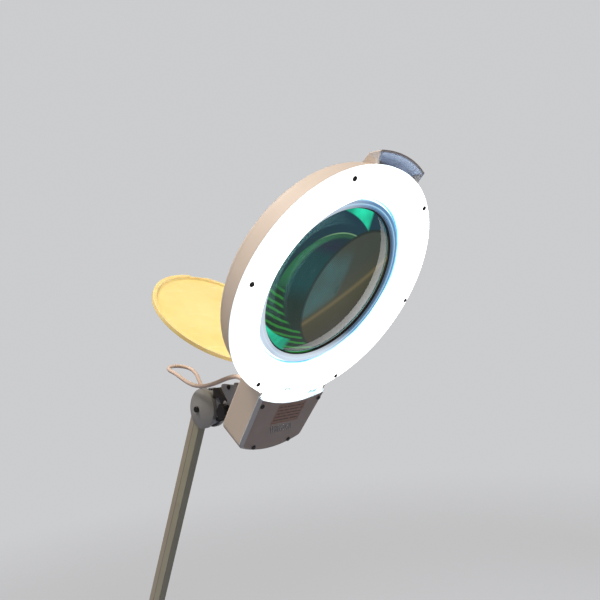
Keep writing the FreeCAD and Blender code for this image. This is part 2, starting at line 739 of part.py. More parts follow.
def coil_spring(front_pivot, rear_pivot, lean):
    """A pull spring from the rear pivot's eye to the front channel's anchor."""
    anchor = lean_point(front_pivot, lean, along=ANCHOR_ALONG, ahead=-ANCHOR_IN)
    dx, dz = anchor[0] - rear_pivot[0], anchor[1] - rear_pivot[1]
    first = LUG_REAR_R + SLIDE
    last = math.hypot(dx, dz) - ANCHOR_R - SLIDE
    coil_start = first + SPRING_TAIL
    coil_end = last - SPRING_TAIL
    helix = Part.makeHelix(SPRING_PITCH, coil_end - coil_start, SPRING_R)
    wire = Part.Wire(Part.makeCircle(SPRING_WIRE, V(SPRING_R, 0, 0), Y_AXIS))
    coil = Part.Wire(helix).makePipeShell([wire], True, True)
    coil.translate(V(0, 0, coil_start))
    plug_r = SPRING_R - SPRING_WIRE - RUN
    plugs = [
        join([pin_z(plug_r, 0, 0, coil_start, coil_start + SPRING_PLUG),
              pin_z(SPRING_WIRE, 0, 0, first, coil_start + SPRING_PLUG)]),
        join([pin_z(plug_r, 0, 0, coil_end - SPRING_PLUG, coil_end),
              pin_z(SPRING_WIRE, 0, 0, coil_end - SPRING_PLUG, last)]),
    ]
    whole = Part.makeCompound([coil] + plugs)
    turn = math.degrees(math.atan2(dx, dz))
    return placed(whole, x=rear_pivot[0], z=rear_pivot[1], turn=turn)


# ---------------------------------------------------------------- elbow, knuckle
def spoke(hub, hub_r, pivot, pivot_r):
    return strap(hub, hub_r, pivot, pivot_r, -LUG_HALF, LUG_HALF)


def pivot_holes(pivots):
    return [pin_y(PIVOT_R, x, z, -THICK_HALF, THICK_HALF) for x, z in pivots]


def elbow_bracket():
    pivots = (LOWER_TOP_FRONT, LOWER_TOP_REAR, UPPER_BASE_FRONT, UPPER_BASE_REAR)
    radii = (LUG_FRONT_R, LUG_REAR_R, LUG_FRONT_R, LUG_REAR_R)
    body = [spoke(ELBOW, ELBOW_HUB_R, pivot, r) for pivot, r in zip(pivots, radii)]
    hub_r = ELBOW_HUB_R + ELBOW_BOSS
    body.append(pin_y(hub_r, ELBOW[0], ELBOW[1], -THICK_HALF, THICK_HALF))
    bolt = pin_y(BOLT_R, ELBOW[0], ELBOW[1], -THICK_HALF, THICK_HALF)
    return cut(join(body), pivot_holes(pivots) + [bolt])


def dome(radius, top, rim):
    """A disc on Y = 0 with a rim of the given height under a domed top."""
    rise = top - rim
    ball_r = (radius * radius + rise * rise) / (2 * rise)
    disc = pin_y(radius, 0, 0, 0, top)
    return disc.common(Part.makeSphere(ball_r, V(0, top - ball_r, 0)))


def joint_cover(centre, radius, rib=0.0):
    """Domed cover of a joint on the +Y side, seated on its bracket by a post."""
    height = COVER_TOP - COVER_INNER
    rim = COVER_RIM - COVER_INNER
    shell = dome(radius, height, rim).cut(
        dome(radius - COVER_WALL, height - COVER_WALL, rim))
    seat = [pin_y(COVER_POST_R, 0, 0, 0, height - COVER_WALL / 2)]
    if rib:
        rib_top = height - COVER_WALL - COVER_RIB_BACK
        seat.append(box(0, rib, 0, rib_top, -COVER_RIB_HALF, COVER_RIB_HALF))
    shell = join([shell] + seat)
    hole = pin_y(BOLT_R + RUN, 0, 0, -PAST, height + PAST)
    return placed(cut(shell, [hole]), x=centre[0], y=COVER_INNER, z=centre[1])


def cover_bolt(centre):
    """Bolt through both covers: round head at -Y, six-sided nut at +Y."""
    low = -COVER_TOP - SEAT
    nut = hexagon(BOLT_HEAD_R, BOLT_HEAD_T)
    nut = placed(nut, x=centre[0], y=COVER_TOP + SEAT, z=centre[1])
    return join([
        pin_y(BOLT_R, centre[0], centre[1], low, COVER_TOP + SEAT + BOLT_HEAD_T),
        pin_y(BOLT_HEAD_R, centre[0], centre[1], low - BOLT_HEAD_T, low),
        nut,
    ])


def hexagon(radius, height):
    """A six-sided nut blank on Y = 0, rising along +Y."""
    corners = []
    for step in range(6):
        angle = math.radians(60 * step)
        corners.append((radius * math.cos(angle), radius * math.sin(angle)))
    return prism_y(corners, 0, height)


CROWN = offset(KNUCKLE, CROWN_X, CROWN_Z)
NOSE_HIGH = KNUCKLE[1] + NOSE_TOP
NOSE_LOW = KNUCKLE[1] + NOSE_BOTTOM


def knuckle_bracket():
    pivots = (UPPER_TOP_FRONT, UPPER_TOP_REAR)
    x, z = KNUCKLE
    disc = pin_y(PLATE_R, x, z, -LUG_HALF, LUG_HALF)
    reach = PLATE_R + PAST
    thin = box(x - PLATE_BACK, x + reach, -LUG_HALF, LUG_HALF, z - reach, z + reach)
    thick_disc = pin_y(PLATE_R, x, z, -THICK_HALF, THICK_HALF)
    thick = box(x + THICK_FROM, x + reach, -THICK_HALF, THICK_HALF, z - reach, z + reach)
    nose = box(x + THICK_FROM, SWIVEL_X, -THICK_HALF, THICK_HALF, NOSE_LOW, NOSE_HIGH)
    end, ear_start = lead_end()
    body = join([
        disc.common(thin), thick_disc.common(thick), nose,
        pin_z(THICK_HALF, SWIVEL_X, 0, NOSE_LOW, NOSE_HIGH),
        spoke(CROWN, CROWN_R, UPPER_TOP_FRONT, LUG_FRONT_R),
        spoke(CROWN, CROWN_R, UPPER_TOP_REAR, LUG_REAR_R),
        spoke(CROWN, CROWN_R, offset(KNUCKLE, BROW_X, BROW_Z), CROWN_R),
        strap(CROWN, CROWN_R, (end.x, end.z), EAR_R, -LUG_HALF, LUG_HALF),
        rod(EAR_R, ear_start, end),
    ])
    outside = ear_start + (ear_start - end)
    return cut(body, pivot_holes(pivots) + [
        pin_y(BOLT_R, x, z, -THICK_HALF, THICK_HALF),
        pin_z(SWIVEL_PIN_R + RUN, SWIVEL_X, 0, NOSE_LOW - PAST, NOSE_HIGH + PAST),
        neck_space(SLIDE),
        rod(LEAD_R + EDGE, outside, end),
    ])


def neck_space(play):
    """Room over the nose for the neck to turn in."""
    return pin_z(NECK_R + play, SWIVEL_X, 0, NOSE_HIGH, NOSE_HIGH + PLATE_R)


def knuckle_cover():
    """The knuckle's cover on the +Y side, notched for the neck."""
    return cut(joint_cover(KNUCKLE, KNUCKLE_COVER_R, COVER_RIB), [neck_space(NECK_PLAY)])


def lead_end():
    """The lead's last point, and the point where it enters the bracket's ear."""
    end, before = LEAD_ROUTE[-1], LEAD_ROUTE[-2]
    way = before - end
    return end, end + way * (EAR_LENGTH / way.Length)


# ---------------------------------------------------------------- swivelling neck
NECK_LOW = NOSE_HIGH + SLIDE
NECK_HIGH = KNUCKLE[1] + NECK_TOP


def neck():
    x, z = TILT
    block = prism_y([
        (SWIVEL_X, NECK_LOW), (SWIVEL_X, NECK_HIGH),
        (SWIVEL_X + NECK_R, NECK_HIGH),
        (x + NECK_EYE_R * NECK_FLANK_X, z + NECK_EYE_R * NECK_FLANK_Z),
        (x - NECK_EYE_R, z),
        (SWIVEL_X + NECK_R, NECK_LOW),
    ], -NECK_HALF, NECK_HALF)
    body = join([
        pin_z(NECK_R, SWIVEL_X, 0, NECK_LOW, NECK_HIGH),
        block,
        pin_y(NECK_EYE_R, x, z, -NECK_HALF, NECK_HALF),
    ])
    return cut(body, [
        pin_z(SWIVEL_PIN_R, SWIVEL_X, 0, NECK_LOW - PAST, NECK_HIGH - NECK_ROOF),
        pin_y(TILT_BOLT_R + RUN, x, z, -NECK_HALF - PAST, NECK_HALF + PAST),
    ])


def swivel_pin():
    low = NOSE_LOW - SLIDE - SWIVEL_NUT_T
    return pin_z(SWIVEL_PIN_R, SWIVEL_X, 0, low, NECK_HIGH - NECK_ROOF)


def swivel_nut():
    """Six-sided nut under the nose."""
    low = NOSE_LOW - SLIDE - SWIVEL_NUT_T
    blank = hexagon(SWIVEL_NUT_R, SWIVEL_NUT_T)
    blank.rotate(V(0, 0, 0), X_AXIS, 90)
    blank.translate(V(SWIVEL_X, 0, low))
    return cut(blank, [pin_z(SWIVEL_PIN_R, SWIVEL_X, 0, low - PAST, NOSE_LOW + PAST)])


# ---------------------------------------------------------------- head: housing
BACK_IN = HEAD_BACK + SHELL_T
ROUND_R = SHELL_BACK_R - SHELL_ROUND
ROUND_Z = HEAD_BACK + SHELL_ROUND
LIP_OUT = COVER_R - COVER_T - SLIDE
LIP_IN = LIP_OUT - SHELL_T
LIP_TOP = -COVER_ROUND
STEP_Z = -COVER_SKIRT - SLIDE
STEP_R = COVER_R - EDGE
CLEAR_R = COVER_R + SLIDE
SEAT_R = LENS_R - GASKET_BITE
GASKET_LOW = LENS_EDGE_Z - LENS_EDGE_T / 2 - GASKET_LIP
GASKET_HIGH = LENS_EDGE_Z + LENS_EDGE_T / 2 + GASKET_LIP
SEAT_TOP = GASKET_LOW - SEAT
SLEEVE_OUT = SLEEVE_R + SLEEVE_T
SLEEVE_TOP = COVER_INNER_Z - SEAT


def ring_of(items):
    """A ring turned about Z from corners (r, z); (r, z, r, z) is an arc."""
    edges = []
    last = V(items[0][-2], 0, items[0][-1])
    for item in items[1:] + items[:1]:
        end = V(item[-2], 0, item[-1])
        if len(item) == 4:
            edges.append(Part.Arc(last, V(item[0], 0, item[1]), end).toShape())
        else:
            edges.append(Part.makeLine(last, end))
        last = end
    return Part.Face(Part.Wire(edges)).revolve(V(0, 0, 0), Z_AXIS, 360)


def rounding(radius):
    """Middle and end of the arc from the wall to the back of the housing."""
    diagonal = radius * math.sqrt(0.5)
    return (ROUND_R + diagonal, ROUND_Z - diagonal, ROUND_R, ROUND_Z - radius)


def back_ring():
    """The housing's round part: outer wall, back, and the sleeve for the lens."""
    inner = rounding(SHELL_ROUND - SHELL_T)
    return ring_of([
        (LIP_IN, LIP_TOP), (LIP_OUT, LIP_TOP), (LIP_OUT, STEP_Z), (STEP_R, STEP_Z),
        (SHELL_BACK_R, ROUND_Z), rounding(SHELL_ROUND),
        (SLEEVE_R, HEAD_BACK), (SLEEVE_R, SEAT_TOP - SEAT_T), (SEAT_R, SEAT_TOP - SEAT_T),
        (SEAT_R, SEAT_TOP), (SLEEVE_R, SEAT_TOP), (SLEEVE_R, SLEEVE_TOP),
        (SLEEVE_OUT, SLEEVE_TOP), (SLEEVE_OUT, BACK_IN), inner[2:],
        inner[:2] + (SHELL_BACK_R - SHELL_T, ROUND_Z), (LIP_IN, STEP_Z - SHELL_T),
    ])


def ring_filled():
    """Everything inside the housing's round outer wall."""
    return ring_of([
        (0, 1), (LIP_OUT, 1), (LIP_OUT, STEP_Z), (STEP_R, STEP_Z),
        (SHELL_BACK_R, ROUND_Z), rounding(SHELL_ROUND), (0, HEAD_BACK),
    ])


def box_block(inset, z0, z1):
    """The ballast box's plan, drawn in by the inset, as a block."""
    top = BOX_TOP_HALF - inset
    low = BOX_END_HALF - inset
    points = [V(BOX_START, -top, z0), V(BOX_SIDE_END, -low, z0),
              V(BOX_SIDE_END, low, z0), V(BOX_START, top, z0)]
    bow = Part.Arc(points[1], V(BOX_END - inset, 0, z0), points[2]).toShape()
    edges = [Part.makeLine(points[0], points[1]), bow,
             Part.makeLine(points[2], points[3]), Part.makeLine(points[3], points[0])]
    block = Part.Face(Part.Wire(edges)).extrude(V(0, 0, z1 - z0))
    return round_edges(block, BOX_CORNER - inset, upright_at_end)


def upright_at_end(edge):
    """True for the box's upright edges at the end away from the ring."""
    if len(edge.Vertexes) != 2:
        return False
    first, last = edge.Vertexes[0].Point, edge.Vertexes[1].Point
    upright = math.hypot(first.x - last.x, first.y - last.y) < 0.001
    return upright and first.x > BOX_START + PAST


def on_plane(edge, z):
    low = edge.BoundBox.ZMin
    return abs(low - z) < 0.001 and abs(edge.BoundBox.ZMax - z) < 0.001


def box_shell():
    filled = ring_filled()
    outer = box_block(0, HEAD_BACK, BOX_RIM_Z)

    def back_edge(edge):
        return on_plane(edge, HEAD_BACK) and edge.BoundBox.XMax > BOX_START + PAST

    outer = round_edges(outer, BOX_ROUND, back_edge)
    inner = box_block(BOX_T, BACK_IN, BOX_RIM_Z + PAST)
    clear = pin_z(CLEAR_R, 0, 0, STEP_Z, 1)
    tab = sector(CLEAR_R - PAST, COVER_TAB_R + SLIDE, LIP_TOP, PAST, COVER_TAB_ANGLE + ARC_PAST, 0)
    return cut(outer, [filled, inner, clear, tab])


def swept(points, half_angle, middle):
    """A block swept about Z from corners (r, z), centred on an angle."""
    corners = [V(r, 0, z) for r, z in points + points[:1]]
    block = Part.Face(Part.makePolygon(corners)).revolve(V(0, 0, 0), Z_AXIS, 2 * half_angle)
    return spun(block, middle - half_angle)


def sector(r0, r1, z0, z1, half_angle, middle):
    """A block between two radii and two heights, centred on an angle."""
    return swept([(r0, z0), (r1, z0), (r1, z1), (r0, z1)], half_angle, middle)


def grip():
    """Hollow grip at the head's free end, open to the front, its outer wall sloping in."""
    root = LIP_IN - SHELL_ROUND
    edge_r = GRIP_R - GRIP_SLOPE
    outer = swept([
        (root, GRIP_FRONT), (GRIP_R, GRIP_FRONT), (edge_r, GRIP_EDGE),
        (SHELL_BACK_R, GRIP_FOOT), (root, GRIP_FOOT),
    ], GRIP_ANGLE, 180)
    outer = round_edges(outer, GRIP_ROUND, sloping_far)
    wall_angle = math.degrees(GRIP_T / GRIP_R)
    inner_r = GRIP_R - GRIP_T
    foot = GRIP_FOOT + GRIP_T
    inner = swept([
        (root, GRIP_FRONT + PAST), (inner_r, GRIP_FRONT + PAST), (inner_r, GRIP_FRONT),
        (edge_r - GRIP_T, GRIP_EDGE + GRIP_T), (SHELL_BACK_R, foot), (root, foot),
    ], GRIP_ANGLE - wall_angle, 180)
    return cut(outer, [inner, ring_filled(), pin_z(CLEAR_R, 0, 0, STEP_Z, 1)])


def sloping_far(edge):
    """True for the two sloping edges at the ends of the grip's outer wall."""
    if len(edge.Vertexes) != 2:
        return False
    first, last = edge.Vertexes[0].Point, edge.Vertexes[1].Point
    near = min(math.hypot(first.x, first.y), math.hypot(last.x, last.y))
    return abs(first.z - last.z) > PAST and near > GRIP_R - GRIP_SLOPE - 0.01


COVER_SCREW_ANGLES = [30 + 60 * step for step in range(6)]
BOX_SCREWS = [(x, side * y) for x, y in zip(BOX_SCREW_X, BOX_SCREW_Y) for side in (-1, 1)]
BOSS_TOP = -COVER_T - SLIDE
BOX_BOSS_TOP = BOX_FACE_Z - BOX_COVER_T - SEAT
TRAY_HALF = FLAP_ARM_HALF + POCKET_SIDE + POCKET_WALL
SLOT_TOP = FLAP_FACE_Z + FLAP_T + POCKET_SIDE
BOARD_POSTS = [(x, y) for x in (BOARD_X0 + STANDOFF_IN, BOARD_X1 - STANDOFF_IN)
               for y in (BOARD_Y0 + STANDOFF_IN, BOARD_Y1 - STANDOFF_IN)]


def at_screws(radius, z0, z1):
    """Rods on the circle of the cover screws."""
    rods = []
    for angle in COVER_SCREW_ANGLES:
        rods.append(spun(pin_z(radius, SCREW_CIRCLE_R, 0, z0, z1), angle))
    return rods


def flap_tray():
    """Walls behind the pocket that takes the lens cover's hinge."""
    wall = POCKET_WALL
    return join([
        box(SLEEVE_R + SLEEVE_T / 2, POCKET_X0, -TRAY_HALF, TRAY_HALF,
            HEAD_BACK, SLOT_TOP + wall),
        box(POCKET_X0 - wall, POCKET_X1 + wall, -TRAY_HALF, TRAY_HALF,
            HEAD_BACK, POCKET_TOP + wall),
    ])


def rear_housing():
    solids = [back_ring(), box_shell(), grip(), flap_tray()]
    filled = ring_filled()
    solids += [boss.common(filled) for boss in at_screws(BOSS_R, BACK_IN - PAST, BOSS_TOP)]
    for x, y in BOX_SCREWS:
        solids.append(pin_z(BOX_BOSS_R, x, y, BACK_IN - PAST, BOX_BOSS_TOP))
    for x, y in BOARD_POSTS:
        solids.append(pin_z(STANDOFF_R, x, y, BACK_IN - PAST, BOARD_Z))
    body = join(solids)
    play = FLAP_ARM_HALF + POCKET_SIDE
    below = HEAD_BACK - PAST
    switch_long = SWITCH_LONG / 2
    switch_wide = SWITCH_WIDE / 2
    tools = [
        box(SLEEVE_R - SLEEVE_T, POCKET_X0 + PAST, -play, play, below, SLOT_TOP),
        box(POCKET_X0, POCKET_X1, -play, play, below, POCKET_TOP),
        pin_y(FLAP_PIN_R, FLAP_PIN_X, FLAP_PIN_Z, -TRAY_HALF, TRAY_HALF),
        pin_z(GLAND_R, GLAND_X, GLAND_Y, below, BACK_IN + PAST),
        box(SWITCH_X - switch_long, SWITCH_X + switch_long,
            SWITCH_Y - switch_wide, SWITCH_Y + switch_wide, below, BACK_IN + PAST),
        box(LIP_IN - 3 * SHELL_T, CLEAR_R, NOTCH_Y0, NOTCH_Y1, NOTCH_Z0, NOTCH_Z1),
    ]
    tools += at_screws(COVER_SCREW_R, BOSS_TOP - COVER_SCREW_L, BOSS_TOP + PAST)
    for x, y in BOX_SCREWS:
        tools.append(pin_z(BOX_SCREW_R, x, y, BOX_BOSS_TOP - BOX_SCREW_L, BOX_BOSS_TOP + PAST))
    for x in FLANGE_SCREW_X:
        for y in (-FLANGE_SCREW_Y, FLANGE_SCREW_Y):
            tools.append(pin_z(FLANGE_SCREW_R, x, y, below, BACK_IN + PAST))
    return cut(body, tools)


# ---------------------------------------------------------------- head: light
COVER_LOW = -COVER_SKIRT


def diffuser_cover():
    """Clear channel-shaped cover over the ring tube, with a tab at the box."""
    inner_round = COVER_ROUND - COVER_T
    outer_mid = COVER_ROUND * math.sqrt(0.5)
    inner_mid = inner_round * math.sqrt(0.5)
    flat = COVER_R - COVER_ROUND
    slope = (COVER_FACE_IN - COVER_INNER_R) / -COVER_INNER_Z
    face_low = COVER_FACE_IN + COVER_WALL_T - slope * COVER_T
    ring = ring_of([
        (COVER_FACE_IN, 0), (flat, 0),
        (flat + outer_mid, outer_mid - COVER_ROUND, COVER_R, -COVER_ROUND),
        (COVER_R, COVER_LOW), (COVER_R - COVER_T, COVER_LOW),
        (COVER_R - COVER_T, -COVER_ROUND),
        (flat + inner_mid, inner_mid - COVER_ROUND, flat, -COVER_T),
        (face_low, -COVER_T), (COVER_INNER_R + COVER_WALL_T, COVER_INNER_Z),
        (COVER_INNER_R, COVER_INNER_Z),
    ])
    tab = sector(COVER_R - COVER_ROUND - PAST, COVER_TAB_R, -COVER_T, 0, COVER_TAB_ANGLE, 0)
    holes = at_screws(COVER_SCREW_R + RUN, -COVER_T - PAST, PAST)
    return cut(join([ring, tab]), holes)


def cover_screws():
    screw = join([
        pin_z(COVER_SCREW_HEAD_R, SCREW_CIRCLE_R, 0, EDGE / 2, COVER_SCREW_HEAD_T),
        pin_z(COVER_SCREW_R, SCREW_CIRCLE_R, 0, EDGE - COVER_SCREW_L, EDGE),
    ])
    return Part.makeCompound([spun(screw, angle) for angle in COVER_SCREW_ANGLES])


def reflector():
    """White tray behind the ring tube, open at the lens cover's pocket."""
    low = BACK_IN + SEAT
    wall_r = REFLECTOR_IN + REFLECTOR_T
    tray = join([
        turned([(REFLECTOR_IN, low), (REFLECTOR_OUT, low),
                (REFLECTOR_OUT, low + REFLECTOR_T), (REFLECTOR_IN, low + REFLECTOR_T)]),
        turned([(REFLECTOR_IN, low), (wall_r, low),
                (wall_r, low + REFLECTOR_RISE), (REFLECTOR_IN, low + REFLECTOR_RISE)]),
    ])
    notch = box(0, REFLECTOR_OUT + PAST, -REFLECTOR_NOTCH, REFLECTOR_NOTCH, low - PAST, 0)
    return cut(tray, [notch])


def torus_part(radius, start, end):
    """Part of a round bar on the tube's circle, from one angle to another."""
    circle = Part.Wire(Part.makeCircle(radius, V(TUBE_RING_R, 0, TUBE_Z), -Y_AXIS))
    bar = Part.Face(circle).revolve(V(0, 0, 0), Z_AXIS, end - start)
    return spun(bar, start)


def ring_tube():
    """Glass ring, hollow, its two ends closed by the cap."""
    glass = torus_part(TUBE_R, TUBE_GAP_ANGLE, 360 - TUBE_GAP_ANGLE)
    inside = torus_part(TUBE_R - TUBE_WALL, TUBE_GAP_ANGLE - ARC_PAST, 360 + ARC_PAST - TUBE_GAP_ANGLE)
    return glass.cut(inside)


def tube_cap():
    """End cap that carries the tube's pins, on a foot on the housing's back."""
    shell = torus_part(TUBE_R + CAP_T, -CAP_ANGLE, CAP_ANGLE)
    foot = box(TUBE_RING_R - CAP_FOOT_HALF, TUBE_RING_R + CAP_FOOT_HALF / 2,
               -CAP_FOOT_HALF, CAP_FOOT_HALF, SLOT_TOP + POCKET_WALL + SEAT, TUBE_Z)
    body = join([shell, foot])
    return cut(body, [
        torus_part(TUBE_R + SEAT, -CAP_ANGLE - ARC_PAST, -TUBE_GAP_ANGLE),
        torus_part(TUBE_R + SEAT, TUBE_GAP_ANGLE, CAP_ANGLE + ARC_PAST),
    ])


HOLDER_ANGLES = (90, 180, 270)


def tube_holders():
    """Spring clips that hold the ring tube off the reflector."""
    half = HOLDER_WIDTH / 2
    out = TUBE_R + EDGE + HOLDER_T
    floor = BACK_IN + SEAT + REFLECTOR_T
    ring = pin_y(out, TUBE_RING_R, TUBE_Z, -half, half)
    leg = box(TUBE_RING_R - half, TUBE_RING_R + half, -half, half, floor, TUBE_Z)
    clip = cut(join([ring, leg]), [
        pin_y(TUBE_R + EDGE, TUBE_RING_R, TUBE_Z, -half - PAST, half + PAST),
        box(TUBE_RING_R - out - PAST, TUBE_RING_R + out + PAST, -half - PAST, half + PAST,
            TUBE_Z + HOLDER_OPEN, TUBE_Z + out + PAST),
    ])
    return Part.makeCompound([spun(clip, angle) for angle in HOLDER_ANGLES])


# ---------------------------------------------------------------- head: lens
def lens():
    """Lens bulged on both faces, its edge in the middle of the gasket."""
    half = LENS_EDGE_T / 2
    sag = LENS_CURVE - math.sqrt(LENS_CURVE ** 2 - LENS_R ** 2)
    peak = LENS_EDGE_Z + half + sag
    pit = LENS_EDGE_Z - half - sag
    disc = pin_z(LENS_R, 0, 0, pit - PAST, peak + PAST)
    front = Part.makeSphere(LENS_CURVE, V(0, 0, peak - LENS_CURVE))
    back = Part.makeSphere(LENS_CURVE, V(0, 0, pit + LENS_CURVE))
    return disc.common(front).common(back)


def lens_gasket():
    """Rubber channel round the lens's edge."""
    groove_low = LENS_EDGE_Z - LENS_EDGE_T / 2 - SAG_AT_LIP
    groove_high = LENS_EDGE_Z + LENS_EDGE_T / 2 + SAG_AT_LIP
    outer = LENS_R + GASKET_OUT
    body = turned([(SEAT_R, GASKET_LOW), (outer, GASKET_LOW),
                   (outer, GASKET_HIGH), (SEAT_R, GASKET_HIGH)])
    groove = turned([(SEAT_R - PAST, groove_low), (LENS_R + EDGE / 2, groove_low),
                     (LENS_R + EDGE / 2, groove_high), (SEAT_R - PAST, groove_high)])
    return cut(body, [groove])


def lens_ring():
    """Ring that holds the gasket down, inside the sleeve."""
    low = GASKET_HIGH + SEAT
    lip = SEAT_TOP + SEAT
    inner = LENS_R + GASKET_OUT + EDGE
    outer = SLEEVE_R - EDGE
    return join([
        turned([(SEAT_R + LENS_RING_IN, low), (outer, low),
                (outer, low + LENS_RING_T), (SEAT_R + LENS_RING_IN, low + LENS_RING_T)]),
        turned([(inner, lip), (outer, lip), (outer, low), (inner, low)]),
    ])


def lens_clips():
    """Small ears on the outside of the sleeve, under the clear cover."""
    inner = SLEEVE_OUT + SEAT
    sleeve = pin_z(inner, 0, 0, HEAD_BACK, 0)
    ear = box(SLEEVE_R, inner + CLIP_WIDTH, -CLIP_LENGTH / 2, CLIP_LENGTH / 2,
              SLEEVE_TOP - CLIP_T - CLIP_DROP, SLEEVE_TOP - CLIP_DROP).cut(sleeve)
    return Part.makeCompound([spun(ear, angle) for angle in COVER_SCREW_ANGLES])


# ---------------------------------------------------------------- ballast box
COVER_UNDER = BOX_FACE_Z - BOX_COVER_T
LABEL_FLOOR = BOX_FACE_Z - LABEL_T


def vent_slots():
    slots = []
    first = SLOT_Y - SLOT_PITCH * (SLOT_COUNT - 1) / 2
    for step in range(SLOT_COUNT):
        slot = box(-SLOT_LENGTH / 2, SLOT_LENGTH / 2, -SLOT_WIDTH / 2, SLOT_WIDTH / 2,
                   COVER_UNDER - PAST, BOX_FACE_Z + PAST)
        slot = spun(slot, SLOT_LEAN)
        slot.translate(V(SLOT_X, first + SLOT_PITCH * step, 0))
        slots.append(slot)
    return slots


def box_cover():
    low = BOX_RIM_Z + SEAT
    outer = box_block(0, low, BOX_FACE_Z)
    rim = [edge for edge in outer.Edges
           if on_plane(edge, BOX_FACE_Z) and edge.BoundBox.XMax > BOX_START + PAST]
    outer = outer.makeChamfer(BOX_BEVEL, rim)
    inner = cut(box_block(BOX_T, low - PAST, COVER_UNDER),
                [pin_z(BOX_COVER_IN + BOX_COVER_T, 0, 0, low - 2 * PAST, BOX_FACE_Z)])
    tools = [
        pin_z(BOX_COVER_IN, 0, 0, low - PAST, BOX_FACE_Z + PAST),
        inner,
        box(LABEL_X0, LABEL_X1, LABEL_Y0, LABEL_Y1, LABEL_FLOOR, BOX_FACE_Z + PAST),
    ]
    for x, y in BOX_SCREWS:
        tools.append(pin_z(BOX_SCREW_R + RUN, x, y, low - PAST, BOX_FACE_Z + PAST))
    return cut(outer, tools + vent_slots())


def box_screws():
    screws = []
    for x, y in BOX_SCREWS:
        seat = BOX_FACE_Z + SEAT
        screws.append(join([
            pin_z(BOX_SCREW_HEAD_R, x, y, seat, seat + BOX_SCREW_HEAD_T),
            pin_z(BOX_SCREW_R, x, y, seat - BOX_SCREW_L, seat),
        ]))
    return Part.makeCompound(screws)


def label_plate():
    return box(LABEL_X0 + EDGE, LABEL_X1 - EDGE, LABEL_Y0 + EDGE, LABEL_Y1 - EDGE,
               LABEL_FLOOR, BOX_FACE_Z)


BOARD_TOP = BOARD_Z + BOARD_T


def ballast_board():
    return box(BOARD_X0, BOARD_X1, BOARD_Y0, BOARD_Y1, BOARD_Z, BOARD_TOP)


def ballast_choke():
    x0 = BOARD_X0 + CHOKE_IN
    y0 = BOARD_Y0 + CHOKE_IN
    return box(x0, x0 + CHOKE_LONG, y0, y0 + CHOKE_WIDE, BOARD_TOP, BOARD_TOP + CHOKE_TALL)


def ballast_capacitors():
    cans = []
    for step in range(2):
        x = BOARD_X1 - CAPACITOR_IN - step * CAPACITOR_PITCH
        y = BOARD_Y1 - CAPACITOR_BACK
        cans.append(pin_z(CAPACITOR_R, x, y, BOARD_TOP, BOARD_TOP + CAPACITOR_TALL))
    return Part.makeCompound(cans)


def terminal_block():
    y1 = BOARD_Y1 - TERMINAL_IN
    block = box(BOARD_X0 + EDGE, BOARD_X0 + TERMINAL_DEEP, y1 - TERMINAL_LONG, y1,
                BOARD_TOP, BOARD_TOP + TERMINAL_TALL)
    holes = []
    pitch = TERMINAL_LONG / TERMINAL_WAYS
    for way in range(TERMINAL_WAYS):
        y = y1 - pitch * (way + 0.5)
        x = BOARD_X0 + TERMINAL_DEEP / 2
        top = BOARD_TOP + TERMINAL_TALL
        holes.append(pin_z(TERMINAL_HOLE_R, x, y, top - TERMINAL_TALL / 2, top + PAST))
    return cut(block, holes)


# ---------------------------------------------------------------- rocker switch
SWITCH_HALF_X = SWITCH_LONG / 2
SWITCH_HALF_Y = SWITCH_WIDE / 2


def switch_block(inset, z0, z1):
    half_x = SWITCH_HALF_X - inset
    half_y = SWITCH_HALF_Y - inset
    return box(SWITCH_X - half_x, SWITCH_X + half_x, SWITCH_Y - half_y,
               SWITCH_Y + half_y, z0, z1)


def switch_frame():
    rim_top = HEAD_BACK - SEAT
    rim_low = rim_top - SWITCH_RIM_T
    floor = HEAD_BACK + SWITCH_DEEP
    body = join([
        switch_block(-SWITCH_RIM, rim_low, rim_top),
        switch_block(RUN, rim_top - EDGE, floor),
    ])
    pin_reach = SWITCH_HALF_Y + ROCKER_PIN_IN
    return cut(body, [
        switch_block(SWITCH_WALL, rim_low - PAST, floor - SWITCH_WALL),
        pin_y(ROCKER_PIN_R + RUN, SWITCH_X, ROCKER_AXIS_Z,
              SWITCH_Y - pin_reach, SWITCH_Y + pin_reach),
    ])


def switch_rocker():
    half = SWITCH_HALF_X - SWITCH_WALL - ROCKER_PLAY
    wide = SWITCH_HALF_Y - SWITCH_WALL - SLIDE
    hub = ROCKER_PIN_R + ROCKER_HUB
    body = prism_y([
        (-half, -ROCKER_TOP), (-hub, hub / 2), (hub, hub / 2), (half, -ROCKER_TOP),
        (half, -ROCKER_NOSE), (0, -ROCKER_WAIST), (-half, -ROCKER_NOSE),
    ], -wide, wide)
    pin_end = SWITCH_HALF_Y - SLIDE
    body = join([body, pin_y(ROCKER_PIN_R, 0, 0, -pin_end, pin_end)])
    return placed(body, x=SWITCH_X, y=SWITCH_Y, z=ROCKER_AXIS_Z, turn=ROCKER_TILT)


# ---------------------------------------------------------------- tilt bracket
CHEEK_IN = NECK_HALF + SLIDE
CHEEK_OUT = CHEEK_IN + CHEEK_T
FLANGE_TOP = HEAD_BACK - SEAT
FLANGE_LOW = FLANGE_TOP - CHEEK_T
TILT_AT = (TILT_X, TILT_Z)
BRACKET_SCREWS = [(x, y) for x in FLANGE_SCREW_X for y in (-FLANGE_SCREW_Y, FLANGE_SCREW_Y)]


